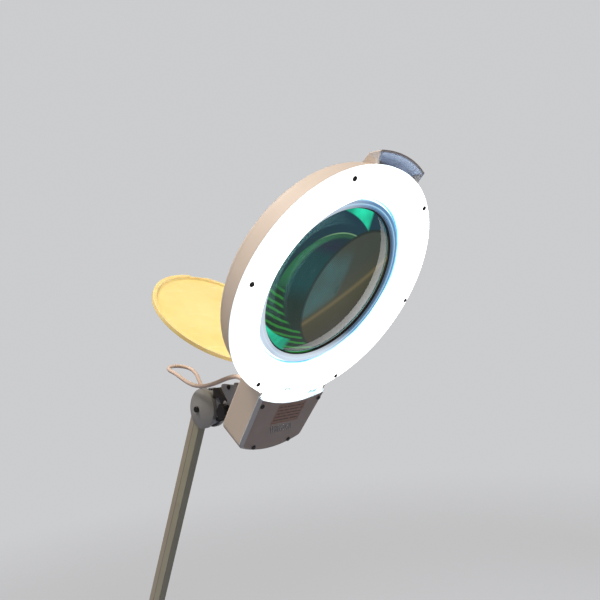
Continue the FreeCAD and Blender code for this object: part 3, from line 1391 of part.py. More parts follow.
def tilt_cheek():
    """The cheek on the +Y side."""
    foot = FLANGE_TOP - CHEEK_FOOT_R
    near = (CHEEK_TOP_X, foot)
    far = (FLANGE_X1 - CHEEK_FOOT_R, foot)
    corner = (CHEEK_CORNER_X, CHEEK_CORNER_Z)
    notch = offset(TILT_AT, -CHEEK_NOTCH_IN, -CHEEK_NOTCH_BACK)
    return join([
        strap(near, CHEEK_FOOT_R, corner, CHEEK_CORNER_R, CHEEK_IN, CHEEK_OUT),
        strap(corner, CHEEK_CORNER_R, notch, CHEEK_NOTCH_R, CHEEK_IN, CHEEK_OUT),
        strap(notch, CHEEK_NOTCH_R, TILT_AT, CHEEK_EYE_R, CHEEK_IN, CHEEK_OUT),
        strap(TILT_AT, CHEEK_EYE_R, far, CHEEK_FOOT_R, CHEEK_IN, CHEEK_OUT),
        prism_y([near, corner, notch, TILT_AT, far], CHEEK_IN, CHEEK_OUT),
    ])


def tilt_bracket():
    cheek = tilt_cheek()
    flange = box(FLANGE_X0, FLANGE_X1, -FLANGE_HALF, FLANGE_HALF, FLANGE_LOW, FLANGE_TOP)
    reach = CHEEK_OUT + PAST
    tools = [
        pin_y(TILT_BOLT_R, TILT_X, TILT_Z, -reach, reach),
        pin_y(CHEEK_SCREW_R, CHEEK_SCREW_X, CHEEK_SCREW_Z, -reach, reach),
    ]
    for x, y in BRACKET_SCREWS:
        tools.append(pin_z(FLANGE_SCREW_R, x, y, FLANGE_LOW - PAST, FLANGE_TOP + PAST))
    return cut(join([cheek, mirrored(cheek), flange]), tools)


def bracket_screws():
    """Screws of the flange, each with its nut inside the box."""
    screws = []
    for x, y in BRACKET_SCREWS:
        head_top = FLANGE_LOW - SEAT
        nut_low = BACK_IN + SEAT
        nut_high = nut_low + FLANGE_HEAD_T
        screws.append(join([
            pin_z(FLANGE_HEAD_R, x, y, head_top - FLANGE_HEAD_T, head_top),
            pin_z(FLANGE_SCREW_R, x, y, head_top - EDGE, nut_high),
            pin_z(FLANGE_HEAD_R, x, y, nut_low, nut_high),
        ]))
    return Part.makeCompound(screws)


def cheek_screws():
    """Short screws in the cheeks' upper corners, heads outward."""
    low = CHEEK_OUT + SEAT
    screw = join([
        pin_y(CHEEK_SCREW_HEAD_R, CHEEK_SCREW_X, CHEEK_SCREW_Z, low, low + CHEEK_SCREW_HEAD_T),
        pin_y(CHEEK_SCREW_R, CHEEK_SCREW_X, CHEEK_SCREW_Z, CHEEK_IN, low + EDGE),
    ])
    return Part.makeCompound([screw, mirrored(screw)])


WASHER_IN = -CHEEK_OUT - SEAT
WASHER_OUT = WASHER_IN - WASHER_T
KNOB_IN = WASHER_OUT - SLIDE
KNOB_OUT = KNOB_IN - KNOB_T
BOLT_END = KNOB_OUT + KNOB_CAP


def tilt_bolt():
    head = CHEEK_OUT + SEAT
    nut = placed(hexagon(TILT_HEAD_R, TILT_HEAD_T), x=TILT_X, y=head, z=TILT_Z)
    return join([pin_y(TILT_BOLT_R, TILT_X, TILT_Z, BOLT_END + SLIDE, head + EDGE), nut])


def tilt_washer():
    """Bright washer under the knob, with a tab at its top."""
    reach = WASHER_TAB - WASHER_TAB_R
    tab = (TILT_X - reach * math.sin(HEAD_ANGLE), TILT_Z + reach * math.cos(HEAD_ANGLE))
    body = strap(TILT_AT, WASHER_R, tab, WASHER_TAB_R, WASHER_OUT, WASHER_IN)
    return cut(body, [pin_y(TILT_BOLT_R + RUN, TILT_X, TILT_Z, WASHER_OUT - PAST, WASHER_IN + PAST)])


def tilt_knob():
    parts = [pin_y(KNOB_HUB_R, 0, 0, KNOB_OUT, KNOB_IN)]
    for step in range(KNOB_LOBES):
        angle = math.radians(360 / KNOB_LOBES * step)
        x, z = KNOB_LOBE_AT * math.cos(angle), KNOB_LOBE_AT * math.sin(angle)
        parts.append(pin_y(KNOB_LOBE_R, x, z, KNOB_OUT + KNOB_STEP, KNOB_IN))
    body = cut(join(parts), [pin_y(TILT_BOLT_R + RUN, 0, 0, BOLT_END, KNOB_IN + PAST)])
    return placed(body, x=TILT_X, z=TILT_Z)


# ---------------------------------------------------------------- lens cover
def lens_flap():
    """Round cover, made closed and then swung open on its pin."""
    inner = FLAP_FACE_Z + FLAP_T
    lip = turned([(FLAP_R - FLAP_LIP_W, inner), (FLAP_R, inner),
                  (FLAP_R, inner + FLAP_LIP_H), (FLAP_R - FLAP_LIP_W, inner + FLAP_LIP_H)])
    near = FLAP_PIN_X - FLAP_KNUCKLE_R
    far = FLAP_PIN_X + FLAP_KNUCKLE_R
    half = FLAP_ARM_HALF
    body = join([
        pin_z(FLAP_R, 0, 0, FLAP_FACE_Z, inner),
        lip,
        box(FLAP_R - 2 * FLAP_LIP_W, far, -half, half, FLAP_FACE_Z, inner),
        box(near, far, -half, half, FLAP_FACE_Z, FLAP_PIN_Z),
        pin_y(FLAP_KNUCKLE_R, FLAP_PIN_X, FLAP_PIN_Z, -half, half),
    ])
    body = cut(body, [
        pin_y(FLAP_PIN_R + RUN, FLAP_PIN_X, FLAP_PIN_Z, -half - PAST, half + PAST),
        box(-FLAP_R - PAST, FLAP_NOTCH_IN - FLAP_R, FLAP_NOTCH_Y - FLAP_NOTCH / 2,
            FLAP_NOTCH_Y + FLAP_NOTCH / 2, FLAP_FACE_Z - PAST, inner + FLAP_LIP_H + PAST),
    ])
    body.rotate(V(FLAP_PIN_X, 0, FLAP_PIN_Z), Y_AXIS, -FLAP_OPEN)
    return body


def flap_pin():
    return pin_y(FLAP_PIN_R, FLAP_PIN_X, FLAP_PIN_Z, -TRAY_HALF, TRAY_HALF)


# ---------------------------------------------------------------- lead
def lead_gland():
    top = HEAD_BACK - SEAT
    flange_low = top - GLAND_FLANGE_T
    nose_low = flange_low - GLAND_NOSE
    body = join([
        pin_z(GLAND_R - RUN, GLAND_X, GLAND_Y, top - EDGE, BACK_IN + GLAND_FLANGE_T),
        pin_z(GLAND_FLANGE_R, GLAND_X, GLAND_Y, flange_low, top),
        pin_z(GLAND_R - GLAND_STEP, GLAND_X, GLAND_Y, nose_low, flange_low),
    ])
    bore = pin_z(LEAD_R + EDGE / 2, GLAND_X, GLAND_Y, nose_low - PAST, BACK_IN + GLAND_FLANGE_T + PAST)
    return cut(body, [bore])


def rounded_path(points):
    """Straight runs joined by tangent arcs as large as the runs allow."""
    edges = []
    radii = []
    last = points[0]
    for before, corner, after in zip(points, points[1:], points[2:]):
        back, ahead = before - corner, after - corner
        shorter = min(back.Length, ahead.Length)
        back, ahead = back.normalize(), ahead.normalize()
        turn = math.pi - back.getAngle(ahead)
        tangent = 0.45 * shorter
        radius = tangent / math.tan(turn / 2)
        start, end = corner + back * tangent, corner + ahead * tangent
        middle = (back + ahead).normalize()
        centre_way = math.hypot(tangent, radius)
        arc_mid = corner + middle * (centre_way - radius)
        edges.append(Part.LineSegment(last, start).toShape())
        edges.append(Part.Arc(start, arc_mid, end).toShape())
        radii.append(round(radius, 1))
        last = end
    edges.append(Part.LineSegment(last, points[-1]).toShape())
    return Part.Wire(edges), radii


def head_lead():
    points = list(LEAD_ROUTE)
    path, radii = rounded_path(points)
    circle = Part.Wire(Part.makeCircle(LEAD_R, points[0], points[1] - points[0]))
    tube = path.makePipeShell([circle], True, False)
    wanted = math.pi * LEAD_R ** 2 * path.Length
    print("lead radii", radii)
    print("lead length %.1f volume %.0f of %.0f" % (path.Length, tube.Volume, wanted))
    return tube


# ---------------------------------------------------------------- all pieces
def build_nodes():
    lower_front = on_link(front_channel(LOWER_LENGTH), BASE_FRONT, LOWER_LEAN)
    lower_rear = on_link(lower_rear_channel(), BASE_REAR, LOWER_LEAN)
    upper_front = on_link(front_channel(UPPER_LENGTH), UPPER_BASE_FRONT, UPPER_LEAN)
    upper_rear = on_link(rear_channel(UPPER_LENGTH), UPPER_BASE_REAR, UPPER_LEAN)
    elbow_cover = joint_cover(ELBOW, ELBOW_COVER_R)
    head_side_cover = knuckle_cover()
    elbow_pins = [pivot_pins(LOWER_TOP_FRONT, LOWER_TOP_REAR),
                  pivot_pins(UPPER_BASE_FRONT, UPPER_BASE_REAR)]
    nodes = {
        "clamp_frame": clamp_frame(),
        "jaw_pad": jaw_pad(),
        "socket_bush": socket_bush(),
        "clamp_foot": clamp_foot(),
        "clamp_screw": clamp_screw(),
        "tommy_bar": tommy_bar(),
        "base_yoke": base_yoke(),
        "base_pins": pivot_pins(BASE_FRONT, BASE_REAR),
        "lower_front_channel": lower_front,
        "lower_rear_channel": lower_rear,
        "lower_spring_anchor": on_link(spring_anchor(), BASE_FRONT, LOWER_LEAN),
        "lower_spring": coil_spring(BASE_FRONT, BASE_REAR, LOWER_LEAN),
        "inlet_grommet": on_link(inlet_grommet(), BASE_REAR, LOWER_LEAN),
        "elbow_bracket": elbow_bracket(),
        "elbow_pins": Part.makeCompound(elbow_pins),
        "elbow_cover_left": elbow_cover,
        "elbow_cover_right": mirrored(elbow_cover),
        "elbow_bolt": cover_bolt(ELBOW),
        "upper_front_channel": upper_front,
        "upper_rear_channel": upper_rear,
        "upper_spring_anchor": on_link(spring_anchor(), UPPER_BASE_FRONT, UPPER_LEAN),
        "upper_spring": coil_spring(UPPER_BASE_FRONT, UPPER_BASE_REAR, UPPER_LEAN),
        "knuckle_bracket": knuckle_bracket(),
        "knuckle_pins": pivot_pins(UPPER_TOP_FRONT, UPPER_TOP_REAR),
        "knuckle_cover_left": head_side_cover,
        "knuckle_cover_right": mirrored(head_side_cover),
        "knuckle_bolt": cover_bolt(KNUCKLE),
        "neck": neck(),
        "swivel_pin": swivel_pin(),
        "swivel_nut": swivel_nut(),
        "head_lead": head_lead(),
    }
    head_pieces = {
        "rear_housing": rear_housing(),
        "reflector": reflector(),
        "ring_tube": ring_tube(),
        "tube_cap": tube_cap(),
        "tube_holders": tube_holders(),
        "diffuser_cover": diffuser_cover(),
        "cover_screws": cover_screws(),
        "lens": lens(),
        "lens_gasket": lens_gasket(),
        "lens_ring": lens_ring(),
        "lens_clips": lens_clips(),
        "box_cover": box_cover(),
        "box_screws": box_screws(),
        "label_plate": label_plate(),
        "ballast_board": ballast_board(),
        "ballast_choke": ballast_choke(),
        "ballast_capacitors": ballast_capacitors(),
        "terminal_block": terminal_block(),
        "switch_frame": switch_frame(),
        "switch_rocker": switch_rocker(),
        "tilt_bracket": tilt_bracket(),
        "bracket_screws": bracket_screws(),
        "cheek_screws": cheek_screws(),
        "tilt_bolt": tilt_bolt(),
        "tilt_washer": tilt_washer(),
        "tilt_knob": tilt_knob(),
        "lens_flap": lens_flap(),
        "flap_pin": flap_pin(),
        "lead_gland": lead_gland(),
    }
    for name, shape in head_pieces.items():
        nodes[name] = in_head(shape)
    return nodes


for node_name, node_shape in build_nodes().items():
    node_shape.exportStep("parts/%s.step" % node_name)
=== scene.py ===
import json
import math

import bpy
from mathutils import Matrix, Vector


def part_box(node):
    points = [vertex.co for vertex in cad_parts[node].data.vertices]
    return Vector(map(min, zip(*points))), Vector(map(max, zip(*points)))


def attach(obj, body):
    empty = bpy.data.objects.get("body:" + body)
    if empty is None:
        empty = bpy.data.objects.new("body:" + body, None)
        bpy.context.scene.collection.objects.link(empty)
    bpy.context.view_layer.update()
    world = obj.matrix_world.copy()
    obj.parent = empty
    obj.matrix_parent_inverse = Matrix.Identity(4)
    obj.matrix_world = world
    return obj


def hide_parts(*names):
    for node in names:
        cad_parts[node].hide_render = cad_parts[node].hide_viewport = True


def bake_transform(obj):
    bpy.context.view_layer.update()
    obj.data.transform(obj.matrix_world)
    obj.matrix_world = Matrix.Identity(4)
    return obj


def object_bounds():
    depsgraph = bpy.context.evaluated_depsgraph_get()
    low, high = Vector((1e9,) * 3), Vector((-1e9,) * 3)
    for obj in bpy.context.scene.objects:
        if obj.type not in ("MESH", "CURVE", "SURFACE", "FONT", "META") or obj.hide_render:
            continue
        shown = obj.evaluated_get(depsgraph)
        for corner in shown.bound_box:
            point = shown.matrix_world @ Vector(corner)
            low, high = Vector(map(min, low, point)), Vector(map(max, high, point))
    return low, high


# Bench magnifying lamp. Metres, in the row's frame: +Z up, the lens faces +X and down.
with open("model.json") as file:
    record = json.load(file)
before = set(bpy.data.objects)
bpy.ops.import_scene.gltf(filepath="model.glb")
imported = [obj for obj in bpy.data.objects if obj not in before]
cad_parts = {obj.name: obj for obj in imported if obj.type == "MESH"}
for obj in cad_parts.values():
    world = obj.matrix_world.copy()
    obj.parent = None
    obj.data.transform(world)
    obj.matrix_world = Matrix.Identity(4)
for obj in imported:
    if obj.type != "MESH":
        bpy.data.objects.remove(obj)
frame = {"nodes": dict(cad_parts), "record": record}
cad_low, cad_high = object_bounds()
nodes = frame["nodes"]
joints = {joint["name"]: joint for joint in frame["record"]["behaviour"]["joints"]}
scene = bpy.context.scene


def middle(node):
    low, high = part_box(node)
    return (low + high) / 2


def joint_at(name):
    return Vector(joints[name]["pos_m"])


# ---------------------------------------------------------------- places
# The head frame: x towards the ballast box, y as the row's Y, z out of the light
# side, z = 0 on the front face of the clear cover.
HEAD_TURN = math.radians(131.68)
LENS_DEPTH = 0.021        # middle of the lens behind the cover's front face
HEAD_X = Vector((math.cos(HEAD_TURN), 0, -math.sin(HEAD_TURN)))
HEAD_Y = Vector((0, 1, 0))
HEAD_Z = Vector((math.sin(HEAD_TURN), 0, math.cos(HEAD_TURN)))
HEAD = middle("lens") + LENS_DEPTH * HEAD_Z

# Radii about the lens's axis.
COVER_R = 0.134           # outside of the clear cover
WALL_IN_R = 0.0982        # foot of the cover's slanted inner wall
HATCH_R = (0.1046, 0.1)   # painted shade lines on that wall begin at the first and are full at the second
BORE_R = 0.098            # the housing's bore, painted white with a glow of lamplight, lies within this
RING_BAND_R = (0.0885, 0.0965)  # the ring's painted lamplight colours run from the first to the second
GRIP_IN_R = 0.1455        # inner wall of the grip
GRIP_FROM_X = -0.1325     # the grip's hollow lies beyond this


def head_point(x, y, z):
    return HEAD + x * HEAD_X + y * HEAD_Y + z * HEAD_Z


# ---------------------------------------------------------------- camera
CAMERA_FROM_HEAD = Vector((0.27453, -0.3815, -0.08185))
CAMERA_RIGHT = Vector((0.7338, 0.6703, -0.1108))
CAMERA_BACK = Vector((0.6505, -0.7403, -0.1698))
CAMERA_LENS = 27.42       # mm, on a sensor of 36 mm

back = CAMERA_BACK.normalized()
up = back.cross(CAMERA_RIGHT).normalized()
right = up.cross(back)
camera = bpy.data.objects.new("camera", bpy.data.cameras.new("camera"))
camera.data.lens = CAMERA_LENS
camera.data.sensor_width = 36.0
camera.data.clip_start = 0.01
camera.matrix_world = Matrix.Translation(HEAD + CAMERA_FROM_HEAD) @ Matrix(
    (right, up, back)).transposed().to_4x4()
scene.collection.objects.link(camera)
scene.camera = camera


# ---------------------------------------------------------------- node materials
NOISE_RANGE = (0.3, 0.7)  # where nearly all of a noise's values lie
BEVEL_SAMPLES = 4
HOLLOW_SAMPLES = 6
HOLLOW_RANGE = (0.9, 0.35)    # ambient occlusion on an open face and in a corner
EDGE_RANGE = (0.98, 0.8)      # rounded normal along the true one, on a face and on an edge
SPECK_SIZE = 0.004


class Look:
    """A material built node by node round one Principled shader."""

    def __init__(self, name):
        self.material = bpy.data.materials.new(name)
        self.material.use_nodes = True
        self.tree = self.material.node_tree
        self.shader = self.tree.nodes["Principled BSDF"]
        self.object_at = self.node("TexCoord").outputs["Object"]

    def node(self, kind, settings=None, inputs=None):
        made = self.tree.nodes.new("ShaderNode" + kind)
        for key, value in (settings or {}).items():
            setattr(made, key, value)
        for key, value in (inputs or {}).items():
            self.feed(made.inputs[key], value)
        return made

    def feed(self, socket, value):
        if isinstance(value, bpy.types.NodeSocket):
            self.tree.links.new(value, socket)
        else:
            socket.default_value = value

    def set(self, **inputs):
        """Feeds the shader's sockets; an underscore stands for a space in a socket's name."""
        for key, value in inputs.items():
            self.feed(self.shader.inputs[key.replace("_", " ")], value)

    def base_colour(self):
        """What feeds the shader's base colour so far."""
        return self.shader.inputs["Base Color"].links[0].from_socket

    def math(self, operation, a, b=0.0, c=0.0):
        return self.node("Math", {"operation": operation}, {0: a, 1: b, 2: c}).outputs[0]

    def product(self, first, *others):
        for other in others:
            first = self.math("MULTIPLY", first, other)
        return first

    def inverse(self, share):
        return self.math("SUBTRACT", 1.0, share)

    def wave(self, value, pitch):
        """Sine of a length, with one turn to each pitch."""
        return self.math("SINE", self.math("MULTIPLY", value, 2 * math.pi / pitch))

    def vector(self, operation, a, b, output=0):
        made = self.node("VectorMath", {"operation": operation}, {0: a, 1: b})
        return made.outputs[output]

    def dot(self, vector, direction):
        return self.vector("DOT_PRODUCT", vector, tuple(direction), "Value")

    def normal(self):
        return self.node("NewGeometry").outputs["Normal"]

    def noise(self, size, detail=3.0, roughness=0.5, stretch=None):
        """Noise with features of that size in metres."""
        where = self.vector("MULTIPLY", self.object_at, stretch) if stretch else self.object_at
        return self.node("TexNoise", None, {
            "Vector": where, "Scale": 1 / size, "Detail": detail, "Roughness": roughness,
        }).outputs[0]

    def spread(self, value, low, high, to_low=0.0, to_high=1.0, smooth=False):
        """Maps low to high onto to_low to to_high, and stays level past both."""
        kind = "SMOOTHSTEP" if smooth else "LINEAR"
        return self.node("MapRange", {"interpolation_type": kind}, {
            "Value": value, "From Min": low, "From Max": high,
            "To Min": to_low, "To Max": to_high,
        }).outputs[0]

    def clouds(self, size, detail=4.0, low=0.0, high=1.0):
        """Noise that uses the whole range from low to high."""
        return self.spread(self.noise(size, detail), *NOISE_RANGE, low, high)

    def mix(self, share, a, b):
        made = self.node("Mix", {"data_type": "RGBA", "blend_type": "MIX"})
        self.feed(made.inputs[0], share)
        self.feed(made.inputs[6], a)
        self.feed(made.inputs[7], b)
        return made.outputs[2]

    def ramp(self, value, stops):
        """Colours along a value; stops are (place, colour)."""
        made = self.node("ValToRGB", None, {"Fac": value})
        band = made.color_ramp
        while len(band.elements) < len(stops):
            band.elements.new(1.0)
        for element, (place, colour) in zip(band.elements, stops):
            element.position = place
            element.color = colour
        return made.outputs[0]

    def soft_edge(self, radius):
        return self.node("Bevel", {"samples": BEVEL_SAMPLES}, {"Radius": radius}).outputs[0]

    def bump(self, height, depth, normal=None):
        inputs = {"Height": height, "Distance": depth, "Strength": 1.0}
        if normal:
            inputs["Normal"] = normal
        return self.node("Bump", None, inputs).outputs[0]

    def edges(self, radius):
        """1 along edges, 0 on faces, from how a rounded normal leaves the true one."""
        along = self.vector("DOT_PRODUCT", self.soft_edge(radius), self.normal(), "Value")
        return self.spread(along, *EDGE_RANGE)

    def speckled_hollow_shade(self, reach, strength):
        """Speckled darkening in hollows and corners, within that reach of a wall: painted shade,
        found by ambient occlusion.
        """
        hollow = self.node("AmbientOcclusion", {"samples": HOLLOW_SAMPLES},
                           {"Distance": reach}).outputs["AO"]
        return self.product(self.spread(hollow, *HOLLOW_RANGE), self.clouds(SPECK_SIZE),
                            strength)

    def head_place(self):
        """Distance from the lens's axis, then x, y and z in the head frame."""
        from_head = self.vector("SUBTRACT", self.object_at, tuple(HEAD))
        x, y, z = (self.dot(from_head, axis) for axis in (HEAD_X, HEAD_Y, HEAD_Z))
        square = self.math("MULTIPLY_ADD", x, x, self.math("MULTIPLY", y, y))
        return self.math("SQRT", square), x, y, z


def rgba(red, green, blue):
    return (red, green, blue, 1.0)


def shade(colour, factor):
    return tuple(min(1.0, part * factor) for part in colour[:3]) + (1.0,)


CHIP_SIZE = 0.002
# Reach and darkening of the painted shade in hollows.
HOLLOW_SHADE_REACH = 0.008
HOLLOW_SHADE_FACTOR = 0.35


def finish(name, colour, roughness, metal=0.0, mottle=0.05, mottle_size=0.03,
           grain_size=0.0008, grain_depth=0.00001, rough_spread=0.06, worn=None, edge=0.0004,
           hollow_shade=0.0):
    """A surface with faint mottling, a fine grain, uneven gloss, softened edges and wear, and
    painted shade speckled in its hollows where asked.
    """
    look = Look(name)
    tone = look.mix(look.clouds(mottle_size, 5.0), shade(colour, 1 - mottle),
                    shade(colour, 1 + mottle))
    # Painted shade: speckled darkening in hollows and corners.
    if hollow_shade:
        tone = look.mix(look.speckled_hollow_shade(HOLLOW_SHADE_REACH, hollow_shade), tone, shade(colour, HOLLOW_SHADE_FACTOR))
    if worn:
        broken = look.spread(look.noise(CHIP_SIZE, 4.0, 0.7), 0.45, 0.62)
        tone = look.mix(look.product(look.edges(2 * edge), broken), tone, worn)
    gloss = look.clouds(0.4 * mottle_size, 4.0, roughness - rough_spread,
                        roughness + rough_spread)
    look.set(Base_Color=tone, Roughness=gloss, Metallic=metal,
             Normal=look.bump(look.noise(grain_size, 2.0), grain_depth, look.soft_edge(edge)))
    return look


def paint(look, *names):
    """Gives CAD nodes a material, by name, or other pieces, as objects."""
    for name in names:
        piece = nodes[name] if isinstance(name, str) else name
        if piece.data.materials:
            for slot in piece.material_slots:
                slot.material = look.material
        else:
            piece.data.materials.append(look.material)


# ---------------------------------------------------------------- mesh helpers
def new_piece(name, verts, faces, slot_name, look, smooth=True):
    mesh = bpy.data.meshes.new(name)
    mesh.from_pydata([tuple(vert) for vert in verts], [], faces)
    mesh.validate()
    piece = bpy.data.objects.new(name, mesh)
    scene.collection.objects.link(piece)
    for face in mesh.polygons:
        face.use_smooth = smooth
    paint(look, piece)
    return piece


def ring_quads(rings, ring, first=0):
    """Faces between rings of vertices that follow each other, from vertex first on."""
    quads = []
    for i in range(rings - 1):
        for step in range(ring):
            a = first + i * ring + step
            b = first + i * ring + (step + 1) % ring
            quads.append((a, b, b + ring, a + ring))
    return quads


def frames_along(path):
    """A pair of cross directions at each point of a path, carried without twist."""
    pairs = []
    side = None
    for i, here in enumerate(path):
        ahead = (path[min(i + 1, len(path) - 1)] - path[max(i - 1, 0)]).normalized()
        if side is None:
            side = ahead.orthogonal().normalized()
        side = (side - ahead * side.dot(ahead)).normalized()
        pairs.append((side, ahead.cross(side)))
    return pairs


def tube_mesh(path, radius, ring=20):
    """Vertices and faces of a round tube along a path, closed at both ends."""
    verts = []
    for here, (side, other) in zip(path, frames_along(path)):
        for step in range(ring):
            angle = 2 * math.pi * step / ring
            verts.append(here + radius * (math.cos(angle) * side + math.sin(angle) * other))
    faces = ring_quads(len(path), ring)
    faces.append(tuple(reversed(range(ring))))
    faces.append(tuple(range(len(verts) - ring, len(verts))))
    return verts, faces


# ---------------------------------------------------------------- lead
LEAD_R = 0.0026
LEAD_ROUTE = (
    (0.1842, -0.034, 0.8191), (0.172, -0.034, 0.830), (0.149, -0.0345, 0.829),
    (0.121, -0.031, 0.8245), (0.095, -0.0285, 0.8225), (0.070, -0.0265, 0.825),
    (0.046, -0.024, 0.833), (0.023, -0.0215, 0.844), (0.0, -0.0205, 0.8525),
    (-0.010, -0.0097, 0.8572), (-0.010, 0.0057, 0.8572), (0.0005, 0.0175, 0.8522),
    (0.0175, 0.016, 0.842), (0.036, 0.007, 0.829), (0.054, 0.0, 0.817),
)
POINTS_PER_SPAN = 12


def spline_points(route):
    """Points along an open NURBS line through listed control points."""
    curve = bpy.data.curves.new("route", "CURVE")
    curve.dimensions = "3D"
    spline = curve.splines.new("NURBS")
    spline.points.add(len(route) - 1)
    for point, place in zip(spline.points, route):
        point.co = (*place, 1.0)
    spline.order_u = 3
    spline.use_endpoint_u = True
    spline.resolution_u = POINTS_PER_SPAN
    holder = bpy.data.objects.new("route", curve)
    line = bpy.data.meshes.new_from_object(holder)
    points = [vertex.co.copy() for vertex in line.vertices]
    bpy.data.objects.remove(holder)
    bpy.data.curves.remove(curve)
    return points


# The lead crosses two joints, so it is two pieces that meet at the loop's far point.
lead_look = finish("lead_pvc", rgba(0.86, 0.70, 0.62), 0.35, mottle_size=0.02,
                   grain_size=0.0006, grain_depth=0.000006, rough_spread=0.08)
lead_line = spline_points(LEAD_ROUTE)
far_point = min(range(len(lead_line)), key=lambda i: lead_line[i].x)
lead_parts = (
    ("head_lead_near", lead_line[:far_point + 1], ("head", "neck")),
    ("head_lead_far", lead_line[far_point:], ("neck", "knuckle")),
)
for part_name, part_line, part_bodies in lead_parts:
    piece = new_piece(part_name, *tube_mesh(part_line, LEAD_R), "lead_pvc", lead_look)
    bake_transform(piece)
    if part_name == "head_lead_near":
        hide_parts("head_lead")


# ---------------------------------------------------------------- arms
CHIP = rgba(0.3, 0.29, 0.28)
SEAM_AT = -0.0083         # rear edge of the front channel's walls, from its pivots
SEAM_W = 0.0009
SEAM_SHADOW = rgba(0.03, 0.03, 0.03)


def arm_paint(name, colour):
    # Arm paint, with painted shade in its hollows.
    return finish(name, colour, 0.4, mottle_size=0.05, grain_size=0.0012,
                  grain_depth=0.00002, worn=CHIP, hollow_shade=0.45)


def seamed_arm(name, foot_joint, top_joint):
    """Arm paint with a painted shadow line along the step where one channel slides in the other.
    """
    look = arm_paint(name, rgba(0.44, 0.44, 0.345))
    foot = joint_at(foot_joint)
    along = (joint_at(top_joint) - foot).normalized()
    ahead = Vector((along.z, 0.0, -along.x))
    from_foot = look.vector("SUBTRACT", look.object_at, tuple(foot))
    # Painted shadow: a dark line along the front channel's rear edge, at the step between the
    # channels.
    seam = look.spread(look.dot(from_foot, ahead), SEAM_AT + SEAM_W, SEAM_AT + 0.7 * SEAM_W)
    look.set(Base_Color=look.mix(look.product(seam, 0.85), look.base_colour(), SEAM_SHADOW))
    return look


paint(arm_paint("rear_arm_paint", rgba(0.50, 0.465, 0.385)),
      "lower_rear_channel", "upper_rear_channel")
paint(seamed_arm("lower_arm_paint", "lower_arm_tilt", "elbow_level"), "lower_front_channel")
paint(seamed_arm("upper_arm_paint", "upper_arm_tilt", "knuckle_level"), "upper_front_channel")


# ---------------------------------------------------------------- plain finishes
# The brackets, clamp and covers below also get painted shade in their hollows.
paint(finish("bracket_paint", rgba(0.38, 0.41, 0.48), 0.42, mottle_size=0.02,
             grain_size=0.001, grain_depth=0.00002, worn=CHIP, hollow_shade=0.5),
      "base_yoke", "elbow_bracket", "knuckle_bracket", "tilt_bracket")

paint(finish("clamp_paint", rgba(0.42, 0.41, 0.38), 0.5, mottle=0.08, mottle_size=0.02,
             grain_size=0.003, grain_depth=0.00012, worn=rgba(0.2, 0.19, 0.18),
             edge=0.0008, hollow_shade=0.5),
      "clamp_frame")

paint(finish("cover_plastic", rgba(0.42, 0.44, 0.45), 0.36, mottle=0.06, mottle_size=0.02,
             grain_size=0.0006, grain_depth=0.000008, hollow_shade=0.4),
      "elbow_cover_left", "elbow_cover_right", "knuckle_cover_left", "knuckle_cover_right")

paint(finish("zinc_steel", rgba(0.55, 0.54, 0.51), 0.32, metal=1.0, mottle=0.1,
             mottle_size=0.006),
      "clamp_foot", "clamp_screw", "tommy_bar", "base_pins", "elbow_pins", "knuckle_pins",
      "lower_spring_anchor", "upper_spring_anchor", "swivel_pin", "tilt_bolt", "flap_pin")

paint(finish("bright_steel", rgba(0.88, 0.89, 0.9), 0.16, metal=1.0, mottle=0.04,
             mottle_size=0.005, grain_size=0.0006, grain_depth=0.000004),
      "tilt_washer", "lens_clips")

spring_look = finish("spring_steel", rgba(0.42, 0.42, 0.43), 0.28, metal=1.0, mottle=0.1,
                     mottle_size=0.004)
paint(spring_look, "tube_holders")

black_screw_look = finish("black_screw", rgba(0.03, 0.03, 0.034), 0.35, metal=0.6, mottle=0.2,
                          mottle_size=0.004, worn=rgba(0.3, 0.3, 0.3))
paint(black_screw_look, "elbow_bolt", "knuckle_bolt", "swivel_nut")

paint(finish("black_iron", rgba(0.02, 0.018, 0.018), 0.42, mottle=0.25, mottle_size=0.008,
             grain_size=0.0016, grain_depth=0.00005, worn=rgba(0.3, 0.26, 0.23),
             edge=0.0006),
      "neck")

paint(finish("black_plastic", rgba(0.018, 0.018, 0.02), 0.38, mottle=0.15, mottle_size=0.01,
             grain_size=0.0007, grain_depth=0.00002),
      "tilt_knob", "switch_frame", "switch_rocker", "lead_gland", "ballast_capacitors")

paint(finish("rubber_black", rgba(0.025, 0.025, 0.026), 0.7, mottle=0.2, mottle_size=0.01,
             grain_size=0.001, grain_depth=0.00003),
      "jaw_pad", "inlet_grommet", "lens_gasket")

paint(finish("nylon", rgba(0.78, 0.76, 0.7), 0.45, mottle=0.04), "socket_bush",
      "terminal_block")
paint(finish("board_green", rgba(0.05, 0.22, 0.1), 0.4, mottle=0.15, mottle_size=0.006),
      "ballast_board")
paint(finish("choke_steel", rgba(0.33, 0.31, 0.3), 0.45, metal=0.8, mottle=0.2,
             mottle_size=0.004),
      "ballast_choke")
paint(finish("reflector_white", rgba(0.9, 0.9, 0.9), 0.25, mottle=0.02), "reflector",
      "tube_cap")


# ---------------------------------------------------------------- housing and box
# Strengths of the painted glow of lamplight in the bore and in the grip.
BORE_GLOW = 2.0
GRIP_GLOW = 0.5


